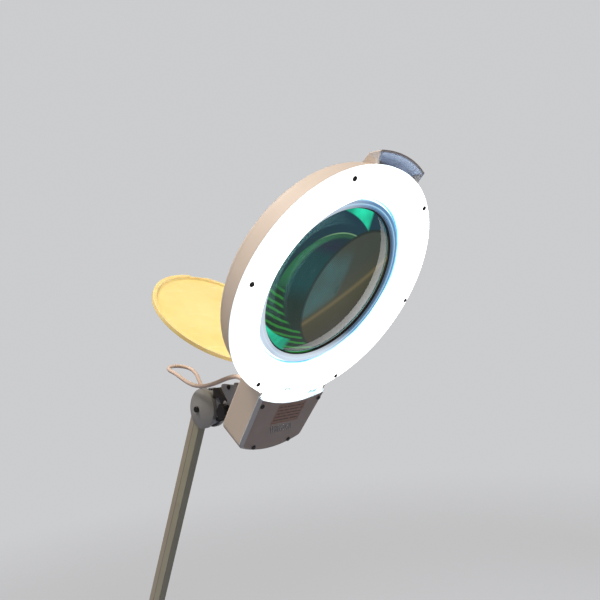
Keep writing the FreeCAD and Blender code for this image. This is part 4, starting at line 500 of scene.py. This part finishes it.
def housing_plastic():
    """Warm off-white moulding, with a painted glow of lamplight, blue inside the grip and white in
    the bore round the lens, and painted shade in its hollows.
    """
    look = Look("housing_plastic")
    radius, x, _, _ = look.head_place()
    warm, grip_lamplight, bore_lamplight = rgba(0.78, 0.69, 0.61), rgba(0.60, 0.66, 0.80), rgba(0.9, 0.94, 1.0)
    tone = look.mix(look.clouds(0.07, 5.0), shade(warm, 0.96), shade(warm, 1.04))

    facing = look.normal()
    # Painted lamplight: the grip's inner walls that face the lamp turn blue and glow.
    walls = look.math("MAXIMUM", look.spread(look.dot(facing, HEAD_X), 0.2, 0.5),
                      look.spread(look.dot(facing, HEAD_Z), 0.6, 0.9))
    grip = look.product(look.spread(x, GRIP_FROM_X, GRIP_FROM_X - 0.0015),
                        look.spread(radius, GRIP_IN_R + 0.0006, GRIP_IN_R), walls)
    # Painted lamplight: the bore round the lens turns white and glows.
    bore = look.spread(radius, BORE_R + 0.0005, BORE_R - 0.0005)
    tone = look.mix(bore, look.mix(grip, tone, grip_lamplight), bore_lamplight)
    # Painted shade: speckled darkening in the moulding's hollows and corners.
    tone = look.mix(look.speckled_hollow_shade(0.006, 0.3), tone, rgba(0.2, 0.17, 0.15))

    look.set(Base_Color=tone, Roughness=look.clouds(0.03, 4.0, 0.36, 0.48),
             Normal=look.bump(look.noise(0.0009, 2.0), 0.000025, look.soft_edge(0.0006)))
    look.set(Emission_Color=look.mix(bore, rgba(0.10, 0.14, 0.22), rgba(0.8, 0.92, 1.0)),
             Emission_Strength=look.math("MAXIMUM", look.product(bore, BORE_GLOW),
                                         look.product(grip, GRIP_GLOW)))
    return look


def box_plastic():
    """The box's cover: a grey face painted darker and warmer than the housing as shade, and a
    painted pale blue highlight along its bevel.
    """
    # The face's grey is darker and warmer than the housing's off-white: painted shade.
    look = finish("box_plastic", rgba(0.56, 0.47, 0.43), 0.42, mottle_size=0.02,
                  grain_size=0.0009, grain_depth=0.000025, edge=0.0006)
    # Painted highlight: pale blue on the slanted bevel.
    bevel_highlight = look.spread(look.dot(look.normal(), HEAD_Z), 0.96, 0.85)
    look.set(Base_Color=look.mix(bevel_highlight, look.base_colour(), rgba(0.90, 0.95, 1.0)))
    return look


paint(housing_plastic(), "rear_housing")
paint(box_plastic(), "box_cover")


# ---------------------------------------------------------------- lit ring
TUBE_GLOW = 9.0
COVER_GLOW = 2.6
RING_GLOW = 0.8
COVER_RIB_PITCH = 0.0012
WALL_RIB_PITCH = 0.0015
RING_RIB_PITCH = 0.0011


def lit_tube():
    """White-coated glass, lit, a little uneven."""
    look = Look("lamp_glass")
    coat = look.mix(look.noise(0.01, 4.0), rgba(0.9, 0.95, 1.0), rgba(1.0, 1.0, 1.0))
    look.set(Base_Color=coat, Roughness=0.2, Emission_Color=coat, Emission_Strength=TUBE_GLOW)
    return look


def lit_cover():
    """Ribbed acrylic, so flooded by the ring tube behind it that nothing shows through."""
    look = Look("clear_cover")
    radius, x, y, z = look.head_place()
    uneven = look.math("MULTIPLY_ADD", look.clouds(0.03, 2.0, -1, 1), 0.0002, radius)
    glow = look.ramp(look.spread(uneven, WALL_IN_R, COVER_R), [
        (0.0, rgba(0.04, 0.2, 0.5)),
        (0.012, rgba(0.03, 0.16, 0.42)),
        (0.03, rgba(0.4, 0.8, 1.0)),
        (0.05, rgba(0.8, 0.96, 1.0)),
        (0.075, rgba(1.0, 1.0, 1.0)),
        (0.97, rgba(1.0, 1.0, 1.0)),
        (1.0, rgba(0.8, 0.93, 1.0)),
    ])

    # painted shade: broken dark lines between the ribs of the slanted wall, on one side
    lines = look.spread(look.wave(uneven, WALL_RIB_PITCH), -0.2, 0.8)
    wall = look.spread(radius, *HATCH_R, smooth=True)
    side = look.spread(y, 0.0, -0.05, smooth=True)
    broken = look.spread(look.noise(0.005, stretch=(1.0, 0.35, 1.0)), 0.38, 0.6)
    glow = look.mix(look.product(lines, wall, side, broken, 0.9), glow,
                    rgba(0.11, 0.18, 0.34))

    # faint marks on the face, on the box's side
    marks = look.product(look.spread(x, 0.112, 0.122),
                         look.spread(look.noise(0.012), 0.55, 0.62), 0.9)
    glow = look.mix(marks, glow, rgba(0.06, 0.16, 0.18))

    dim_skirt = look.math("MAXIMUM", look.spread(radius, 0.1333, 0.1325),
                          look.spread(z, -0.0075, -0.0012, 0.3, 1.0))
    ribs = look.spread(look.wave(radius, COVER_RIB_PITCH), -1, 1)
    look.set(Base_Color=glow, Roughness=0.18, Normal=look.bump(ribs, 0.00005), IOR=1.49,
             Emission_Color=glow,
             Emission_Strength=look.product(look.clouds(0.03, 3.0, 0.93, 1.0), COVER_GLOW,
                                            dim_skirt))
    return look


def ring_plastic():
    """Clamping ring whose white and fine blue lines are a painted glow of lamplight on a dark
    base.
    """
    look = Look("ring_white")
    radius, x, y, _ = look.head_place()
    band = look.ramp(look.spread(radius, *RING_BAND_R), [
        (0.0, rgba(0.01, 0.03, 0.08)),
        (0.15, rgba(0.02, 0.07, 0.18)),
        (0.3, rgba(0.05, 0.18, 0.40)),
        (0.42, rgba(0.2, 0.5, 0.75)),
        (0.5, rgba(0.5, 0.8, 0.95)),
        (0.58, rgba(0.05, 0.18, 0.38)),
        (0.8, rgba(0.02, 0.10, 0.28)),
        (1.0, rgba(0.25, 0.6, 0.85)),
    ])
    teeth = look.spread(look.wave(radius, RING_RIB_PITCH), -0.2, 0.9)
    band = look.mix(look.product(teeth, 0.25), band, rgba(0.6, 0.85, 1.0))
    # Painted highlight: the ring whiter on one side and towards the box.
    lit_side = look.math("MAXIMUM", look.spread(y, 0.01, -0.07, smooth=True),
                       look.spread(x, 0.055, 0.088))
    band = look.mix(look.product(lit_side, 0.8), band, rgba(0.86, 0.93, 1.0))
    look.set(Base_Color=look.mix(teeth, rgba(0.03, 0.06, 0.1), rgba(0.05, 0.1, 0.16)),
             Roughness=0.5, Normal=look.bump(teeth, 0.0001), Specular_IOR_Level=0.15,
             Emission_Color=band, Emission_Strength=RING_GLOW)
    return look


paint(lit_tube(), "ring_tube")
paint(lit_cover(), "diffuser_cover")
paint(ring_plastic(), "lens_ring")


# ---------------------------------------------------------------- lens
# Circles that the coating's reflections follow: x and y in the head frame, and radius.
SPLIT = (0.005, 0.036, 0.0755)
SPLIT_LINE = ((0.005, 0.036, 0.0735), (0.005, 0.036, 0.0765))
ARC = (0.006, -0.014, 0.0655)
ARC_LINE = ((0.006, -0.014, 0.0650), (0.006, -0.014, 0.0662))
DISC = (0.0, -0.014, 0.055)
RIM_REFLECTION_TOP = (0.010, -0.034, 0.0895)
RIM_REFLECTION_FOOT = (-0.014, -0.022, 0.0805)

ROOM_ACROSS = (0.739, 0.673)  # way across the bands of the room's painted reflection, in the head's x and y
BOW_Y = 0.02              # the bands bow about this y
BOW = -1.6
PATCH_LINE_PITCH = 0.0028
STREAK_PITCH = 0.0072

LENS_FRONT_Z = -0.021     # the front surface lies before this, the back one behind it
LENS_GLOW = 0.95


class LensLook(Look):
    """Thick ground glass whose green coating carries painted reflections of the ring tube and the
    room, in arcs.
    """

    def __init__(self):
        super().__init__("lens_glass")
        _, self.x, self.y, self.z = self.head_place()
        self.cloud = self.clouds(0.03)

    def beyond(self, circle, soft):
        """1 outside a circle, 0 inside it."""
        x, y, radius = circle
        dx, dy = self.math("SUBTRACT", self.x, x), self.math("SUBTRACT", self.y, y)
        square = self.math("MULTIPLY_ADD", dx, dx, self.math("MULTIPLY", dy, dy))
        return self.spread(self.math("SQRT", square), radius - soft, radius + soft,
                           smooth=True)

    def within(self, circle, soft):
        return self.inverse(self.beyond(circle, soft))

    def room(self):
        """Painted reflection of the far side of the room: olive, a golden line, brown, and a teal
        patch.
        """
        share_x, share_y = ROOM_ACROSS
        across = self.math("ADD", self.product(self.x, share_x),
                           self.product(self.y, share_y))
        aside = self.math("SUBTRACT", self.y, BOW_Y)
        across = self.math("MULTIPLY_ADD", self.product(aside, aside), BOW, across)
        room = self.ramp(self.spread(across, -0.06, 0.09), [
            (0.0, rgba(0.05, 0.046, 0.036)),
            (0.3, rgba(0.042, 0.042, 0.034)),
            (0.46, rgba(0.05, 0.043, 0.026)),
            (0.495, rgba(0.13, 0.095, 0.04)),
            (0.53, rgba(0.055, 0.042, 0.018)),
            (0.62, rgba(0.044, 0.032, 0.012)),
            (0.8, rgba(0.03, 0.016, 0.008)),
            (1.0, rgba(0.02, 0.008, 0.005)),
        ])
        lines = self.wave(self.math("ADD", self.x, self.y), PATCH_LINE_PITCH)
        patch = self.product(self.spread(self.y, 0.006, -0.004, smooth=True),
                             self.spread(across, 0.012, 0.0, smooth=True),
                             self.spread(self.x, -0.05, -0.02, smooth=True),
                             self.spread(lines, -0.6, 0.8, 0.25, 1.0),
                             self.spread(self.cloud, 0, 1, 0.5, 1.0))
        return self.mix(patch, room, rgba(0.05, 0.15, 0.16))

    def arc(self):
        """Painted reflection: navy, and a green arc with a thin pale line along its far edge."""
        deep = self.mix(self.spread(self.x, -0.08, 0.0), rgba(0.008, 0.03, 0.055),
                        rgba(0.006, 0.022, 0.03))
        green = self.mix(self.spread(self.y, -0.08, -0.02), rgba(0.016, 0.12, 0.045),
                         rgba(0.02, 0.075, 0.04))
        arc = self.product(self.within(ARC, 0.0006), self.spread(self.x, 0.02, -0.005))
        line_in, line_out = ARC_LINE
        line = self.product(self.within(line_out, 0.0003), self.beyond(line_in, 0.0003),
                            self.spread(self.x, -0.03, -0.05),
                            self.spread(self.y, -0.06, -0.035))
        return self.mix(line, self.mix(arc, deep, green), rgba(0.16, 0.3, 0.15))

    def teal(self):
        """Painted reflection: the dark disc inside the arc."""
        return self.ramp(self.spread(self.x, -0.055, 0.055), [
            (0.0, rgba(0.006, 0.018, 0.03)),
            (0.12, rgba(0.012, 0.012, 0.035)),
            (0.22, rgba(0.004, 0.035, 0.04)),
            (0.5, rgba(0.004, 0.042, 0.048)),
            (0.68, rgba(0.006, 0.016, 0.012)),
            (1.0, rgba(0.01, 0.012, 0.008)),
        ])

    def streaks(self):
        """Painted reflection: bright green streaks along curved lines."""
        wave = self.math("MULTIPLY_ADD", self.math("MULTIPLY", self.y, self.y), 2.2, self.x)
        wave = self.math("MULTIPLY_ADD", self.noise(0.02, 2.0), 0.004, wave)
        streak = self.spread(self.wave(wave, STREAK_PITCH), 0.0, 0.95, smooth=True)
        return self.mix(streak, rgba(0.004, 0.014, 0.008), rgba(0.02, 0.19, 0.022))

    def rim_reflection(self):
        """How far the painted emerald reflection shows where the coating meets the rim."""
        top = self.product(self.beyond(RIM_REFLECTION_TOP, 0.0008),
                           self.spread(self.y, 0.013, 0.009),
                           self.spread(self.x, -0.06, -0.07),
                           self.spread(self.y, -0.046, -0.015))
        foot = self.product(self.beyond(RIM_REFLECTION_FOOT, 0.0008),
                            self.spread(self.y, -0.026, -0.033),
                            self.spread(self.x, 0.03, 0.05))
        return self.math("MAXIMUM", top, foot)


def coated_lens():
    """The glass, with painted reflections: the arc's side and the room's side either side of the
    split.
    """
    look = LensLook()
    disc = look.within(DISC, 0.0018)
    arc_side = look.mix(disc, look.arc(), look.teal())
    low = look.product(look.spread(look.x, 0.004, 0.012), look.inverse(disc))
    arc_side = look.mix(low, arc_side, look.streaks())
    picture = look.mix(look.beyond(SPLIT, 0.0007), look.room(), arc_side)

    line_in, line_out = SPLIT_LINE
    line = look.product(look.within(line_out, 0.0004), look.beyond(line_in, 0.001), 0.75)
    picture = look.mix(line, picture, rgba(0.008, 0.008, 0.008))
    rim_reflection = look.mix(look.cloud, rgba(0.0, 0.30, 0.17), rgba(0.02, 0.80, 0.46))
    picture = look.mix(look.rim_reflection(), picture, rim_reflection)

    # The painted reflections glow from the front surface only.
    front = look.spread(look.z, LENS_FRONT_Z - 0.0002, LENS_FRONT_Z + 0.0002, 0.0, LENS_GLOW)
    look.set(Base_Color=rgba(0.05, 0.11, 0.10), Roughness=0.015, IOR=1.25,
             Transmission_Weight=1.0, Specular_IOR_Level=0.12, Emission_Color=picture,
             Emission_Strength=front)
    return look


paint(coated_lens(), "lens")


# ---------------------------------------------------------------- flap and label
# Strength of the flap's painted glow, as if lit through from behind.
FLAP_GLOW = 0.28


def flap_plastic():
    """Cream sheet with a painted glow as if lit through, pale streaks that are partly stress marks
    and partly painted highlight, and a whiter lip.
    """
    look = Look("flap_plastic")
    tone = look.mix(look.clouds(0.05), shade(rgba(0.95, 0.72, 0.25), 0.95),
                    rgba(1.0, 0.77, 0.32))
    # Pale streaks: partly stress marks, partly painted highlight.
    stress_marks_and_sheen = look.noise(0.006, stretch=(1.0, 0.15, 1.0))
    tone = look.mix(look.spread(stress_marks_and_sheen, 0.62, 0.74, 0.0, 0.5), tone, rgba(1.0, 0.86, 0.5))
    tone = look.mix(look.product(look.edges(0.0015), 0.8), tone, rgba(1.0, 0.93, 0.72))
    warp = look.noise(0.03, 2.0, stretch=(1.0, 0.3, 1.0))
    look.set(Base_Color=tone, Roughness=0.26,
             Normal=look.bump(warp, 0.0012, look.soft_edge(0.0008)),
             Coat_Weight=0.25, Coat_Roughness=0.12, Subsurface_Weight=0.25,
             Subsurface_Scale=0.004, Emission_Color=tone, Emission_Strength=FLAP_GLOW)
    return look


LABEL_X = (0.1425, 0.1664)    # the printed field, in the head frame
LABEL_Y = (-0.0168, 0.0238)
LABEL_EDGE = 0.0007
ROW_PITCH = 0.0046


def bare_label():
    """A dark label printed with nothing but a border and blank ruled rows."""
    look = Look("label_paper")
    _, x, y, _ = look.head_place()
    ground = look.mix(look.clouds(SPECK_SIZE), rgba(0.40, 0.21, 0.15), rgba(0.48, 0.27, 0.2))
    row = look.math("FRACT", look.math("MULTIPLY", x, 1 / ROW_PITCH))
    printed = [look.spread(row, 0.2, 0.3), look.spread(row, 0.72, 0.62)]
    for place, (low, high) in ((x, LABEL_X), (y, LABEL_Y)):
        printed.append(look.spread(place, low, low + LABEL_EDGE))
        printed.append(look.spread(place, high, high - LABEL_EDGE))
    broken = look.spread(look.noise(0.003, 1.0), 0.38, 0.5, 0.35, 1.0)
    tone = look.mix(look.product(*printed, broken, 0.9), ground, rgba(0.055, 0.022, 0.016))
    look.set(Base_Color=tone, Roughness=0.45,
             Normal=look.bump(look.noise(0.0008), 0.00001, look.soft_edge(0.0002)))
    return look


paint(flap_plastic(), "lens_flap")
paint(bare_label(), "label_plate")


# ---------------------------------------------------------------- screws
SCREW_RING = 32           # vertices round a screw
SCREW_CROWN = 12          # rings across its domed top
RIM_T = 0.6               # height of the head's rim, as a share of the head's
CROSS_HALF = 0.15         # the recess's half width and reach, as shares of the head's radius
CROSS_REACH = 0.62
CROSS_DEPTH = 0.65        # and its depth, as a share of the head's height
FIRST_TURN = 0.4          # the recess of each screw is turned on from the last one's
NEXT_TURN = 1.1


def screw_head(centre, axis, head_r, head_t, shank_r, length, turn):
    """Vertices and faces of a pan-head screw with a cross recess."""
    side = axis.orthogonal().normalized()
    other = axis.cross(side)
    cos_turn, sin_turn = math.cos(turn), math.sin(turn)
    profile = [(0.4 * shank_r, -length), (shank_r, shank_r - length), (shank_r, 0.0),
               (head_r, 0.0), (head_r, 0.35 * head_t), (0.96 * head_r, RIM_T * head_t)]
    for k in range(SCREW_CROWN):
        r = 0.9 * head_r * (1 - k / SCREW_CROWN)
        profile.append((r, head_t * (1 - 0.3 * (r / head_r) ** 2)))

    verts = [centre - axis * length]
    for r, z in profile:
        for step in range(SCREW_RING):
            angle = 2 * math.pi * step / SCREW_RING
            a, b = r * math.cos(angle), r * math.sin(angle)
            near, far = sorted((abs(a * cos_turn + b * sin_turn),
                                abs(b * cos_turn - a * sin_turn)))
            crossed = near < CROSS_HALF * head_r and far < CROSS_REACH * head_r
            sunk = CROSS_DEPTH * head_t if crossed and z > RIM_T * head_t else 0.0
            verts.append(centre + side * a + other * b + axis * (z - sunk))
    verts.append(centre + axis * ((1 - CROSS_DEPTH) * head_t))

    last = len(verts) - 1
    around = [(step, (step + 1) % SCREW_RING) for step in range(SCREW_RING)]
    faces = [(0, 1 + after, 1 + step) for step, after in around]
    faces += ring_quads(len(profile), SCREW_RING, first=1)
    faces += [(last - SCREW_RING + step, last - SCREW_RING + after, last)
              for step, after in around]
    return verts, faces


def screws(name, node, places, *sizes):
    """One piece for all the screws of a CAD node; a place is (x, y, z, axis) in the head frame."""
    verts, faces = [], []
    for i, (x, y, z, axis) in enumerate(places):
        made, quads = screw_head(head_point(x, y, z), axis, *sizes,
                                 turn=FIRST_TURN + NEXT_TURN * i)
        faces += [tuple(len(verts) + v for v in quad) for quad in quads]
        verts += made
    piece = new_piece(name, verts, faces, "black_screw", black_screw_look, smooth=False)
    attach(piece, "head")
    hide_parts(node)


# Places in the head frame; z is the plane under the screws' heads.
COVER_SCREW_R = 0.1273    # circle of the cover's six screws
COVER_SCREW_ANGLES = [math.radians(degrees) for degrees in range(30, 390, 60)]
BOX_SCREW_Z = 0.0036
BOX_SCREWS_AT = ((0.1385, 0.046), (0.1385, -0.046), (0.199, 0.028), (0.199, -0.028))
BRACKET_SCREW_Z = -0.0392
BRACKET_SCREWS_AT = [(x, y) for x in (0.156, 0.197) for y in (-0.018, 0.018)]
CHEEK_SCREW_X, CHEEK_SCREW_Y, CHEEK_SCREW_Z = 0.184, 0.0114, -0.084

# Sizes at the end of each call: head radius, head height, shank radius, length under the head.
screws("cover_screw_heads", "cover_screws",
       [(COVER_SCREW_R * math.cos(angle), COVER_SCREW_R * math.sin(angle), 0.0, HEAD_Z)
        for angle in COVER_SCREW_ANGLES],
       0.0026, 0.0012, 0.0014, 0.0155)
screws("box_screw_heads", "box_screws",
       [(x, y, BOX_SCREW_Z, HEAD_Z) for x, y in BOX_SCREWS_AT],
       0.0028, 0.0014, 0.0015, 0.0138)
screws("bracket_screw_heads", "bracket_screws",
       [(x, y, BRACKET_SCREW_Z, -HEAD_Z) for x, y in BRACKET_SCREWS_AT],
       0.0036, 0.0022, 0.002, 0.0073)
screws("cheek_screw_heads", "cheek_screws",
       [(CHEEK_SCREW_X, end * CHEEK_SCREW_Y, CHEEK_SCREW_Z, end * HEAD_Y) for end in (1, -1)],
       0.003, 0.0016, 0.0019, 0.0024)


# ---------------------------------------------------------------- springs
WIRE_R = 0.0005
COIL_R = 0.0023           # middle of the wire
COIL_PITCH = 0.0014
COIL_STEPS = 12           # points to a turn
TAIL = 0.034              # straight wire at each end
TAIL_STEP = 0.001
TAIL_GAP = 0.003          # between the tail's last point and the first turn
LOWER_SPRING = ((-0.0134, 0.0, 0.0845), (-0.0665, 0.0, 0.2953))
UPPER_SPRING = ((-0.1299, 0.0, 0.4737), (-0.0193, 0.0, 0.6613))


def pull_spring(name, node, low, high, bodies):
    """A close-wound pull spring with a straight wire to each end."""
    low, high = Vector(low), Vector(high)
    along = (high - low).normalized()
    side = Vector((0, 1, 0))
    other = along.cross(side)
    coil = (high - low).length - 2 * TAIL
    steps = int(coil / COIL_PITCH) * COIL_STEPS
    tail = [TAIL_STEP * step for step in range(round((TAIL - TAIL_GAP) / TAIL_STEP) + 1)]
    path = [low + along * place for place in tail]
    for step in range(steps + 1):
        angle = 2 * math.pi * step / COIL_STEPS
        round_it = math.cos(angle) * side + math.sin(angle) * other
        path.append(low + along * (TAIL + coil * step / steps) + COIL_R * round_it)
    path += [high - along * place for place in reversed(tail)]
    piece = new_piece(name, *tube_mesh(path, WIRE_R, ring=6), "spring_steel", spring_look)
    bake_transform(piece)
    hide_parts(node)


pull_spring("lower_coil", "lower_spring", *LOWER_SPRING, ("base_yoke", "lower_front"))
pull_spring("upper_coil", "upper_spring", *UPPER_SPRING, ("elbow", "upper_front"))


# ---------------------------------------------------------------- studio
FLOOR_GAP = 0.001
FLOOR_R = 6.0
FLOOR_FADE = (4.0, 0.8)   # the floor is clear beyond the first radius, solid within the second
BACKDROP_R = 12.0
STUDIO_GREY = rgba(0.60, 0.605, 0.62)
FLOOR_GLOW = 0.42
SKY_RANGE = (-0.25, 0.8)  # height on the unit sphere of the world's two colours
SKY_LOW = rgba(0.10, 0.092, 0.105)
SKY_HIGH = rgba(0.38, 0.345, 0.305)


def floor_stage():
    """Pale floor that fades into the backdrop; it shows in gloss but gives no soft light."""
    bpy.ops.mesh.primitive_circle_add(vertices=96, radius=FLOOR_R, fill_type="NGON",
                                      location=(0, 0, cad_low.z - FLOOR_GAP))
    floor = bpy.context.object
    floor.name = "floor"
    look = Look("floor")
    away = look.node("VectorMath", {"operation": "LENGTH"}, {0: look.object_at})
    look.set(Base_Color=look.mix(look.noise(0.6), rgba(0.50, 0.53, 0.58),
                                 rgba(0.53, 0.56, 0.61)),
             Roughness=0.85, Emission_Color=STUDIO_GREY, Emission_Strength=FLOOR_GLOW,
             Alpha=look.spread(away.outputs["Value"], *FLOOR_FADE, smooth=True))
    paint(look, floor)
    floor.visible_diffuse = False
    return floor


def backdrop_stage():
    """Plain pale backdrop that only the camera sees."""
    bpy.ops.mesh.primitive_uv_sphere_add(segments=64, ring_count=32, radius=BACKDROP_R,
                                         location=(0, 0, 0))
    backdrop = bpy.context.object
    backdrop.name = "backdrop"
    look = Look("backdrop")
    look.set(Base_Color=rgba(0, 0, 0), Roughness=1.0, Emission_Color=STUDIO_GREY,
             Emission_Strength=1.0)
    paint(look, backdrop)
    backdrop.visible_diffuse = False
    backdrop.visible_glossy = False
    backdrop.visible_transmission = False
    backdrop.visible_shadow = False
    return backdrop


def dim_room():
    """The world's light: a dim room, darker below than above."""
    world = bpy.data.worlds.new("studio")
    world.use_nodes = True
    tree = world.node_tree
    way = tree.nodes.new("ShaderNodeTexCoord")
    height = tree.nodes.new("ShaderNodeSeparateXYZ")
    band = tree.nodes.new("ShaderNodeMapRange")
    ramp = tree.nodes.new("ShaderNodeValToRGB")
    band.inputs["From Min"].default_value, band.inputs["From Max"].default_value = SKY_RANGE
    ramp.color_ramp.elements[0].color = SKY_LOW
    ramp.color_ramp.elements[1].color = SKY_HIGH
    tree.links.new(way.outputs["Generated"], height.inputs[0])
    tree.links.new(height.outputs["Z"], band.inputs["Value"])
    tree.links.new(band.outputs[0], ramp.inputs[0])
    tree.links.new(ramp.outputs[0], tree.nodes["Background"].inputs["Color"])
    scene.world = world


def softbox(name, place, side, power, colour):
    """A square area light, aimed at the head."""
    data = bpy.data.lights.new(name, "AREA")
    data.shape = "RECTANGLE"
    data.size = side
    data.size_y = side
    data.energy = power
    data.color = colour
    light = bpy.data.objects.new(name, data)
    scene.collection.objects.link(light)
    light.location = place
    light.rotation_euler = (Vector(place) - HEAD).to_track_quat("Z", "Y").to_euler()


floor_stage()
backdrop_stage()
dim_room()
softbox("key", (0.15, -0.75, 2.4), 0.9, 25, (1.0, 0.9, 0.8))
softbox("side", (-1.6, -1.5, 1.6), 1.2, 2, (1.0, 0.93, 0.85))
softbox("back", (0.6, 1.9, 1.3), 1.0, 9, (0.8, 0.9, 1.0))

scene.view_settings.view_transform = "Standard"
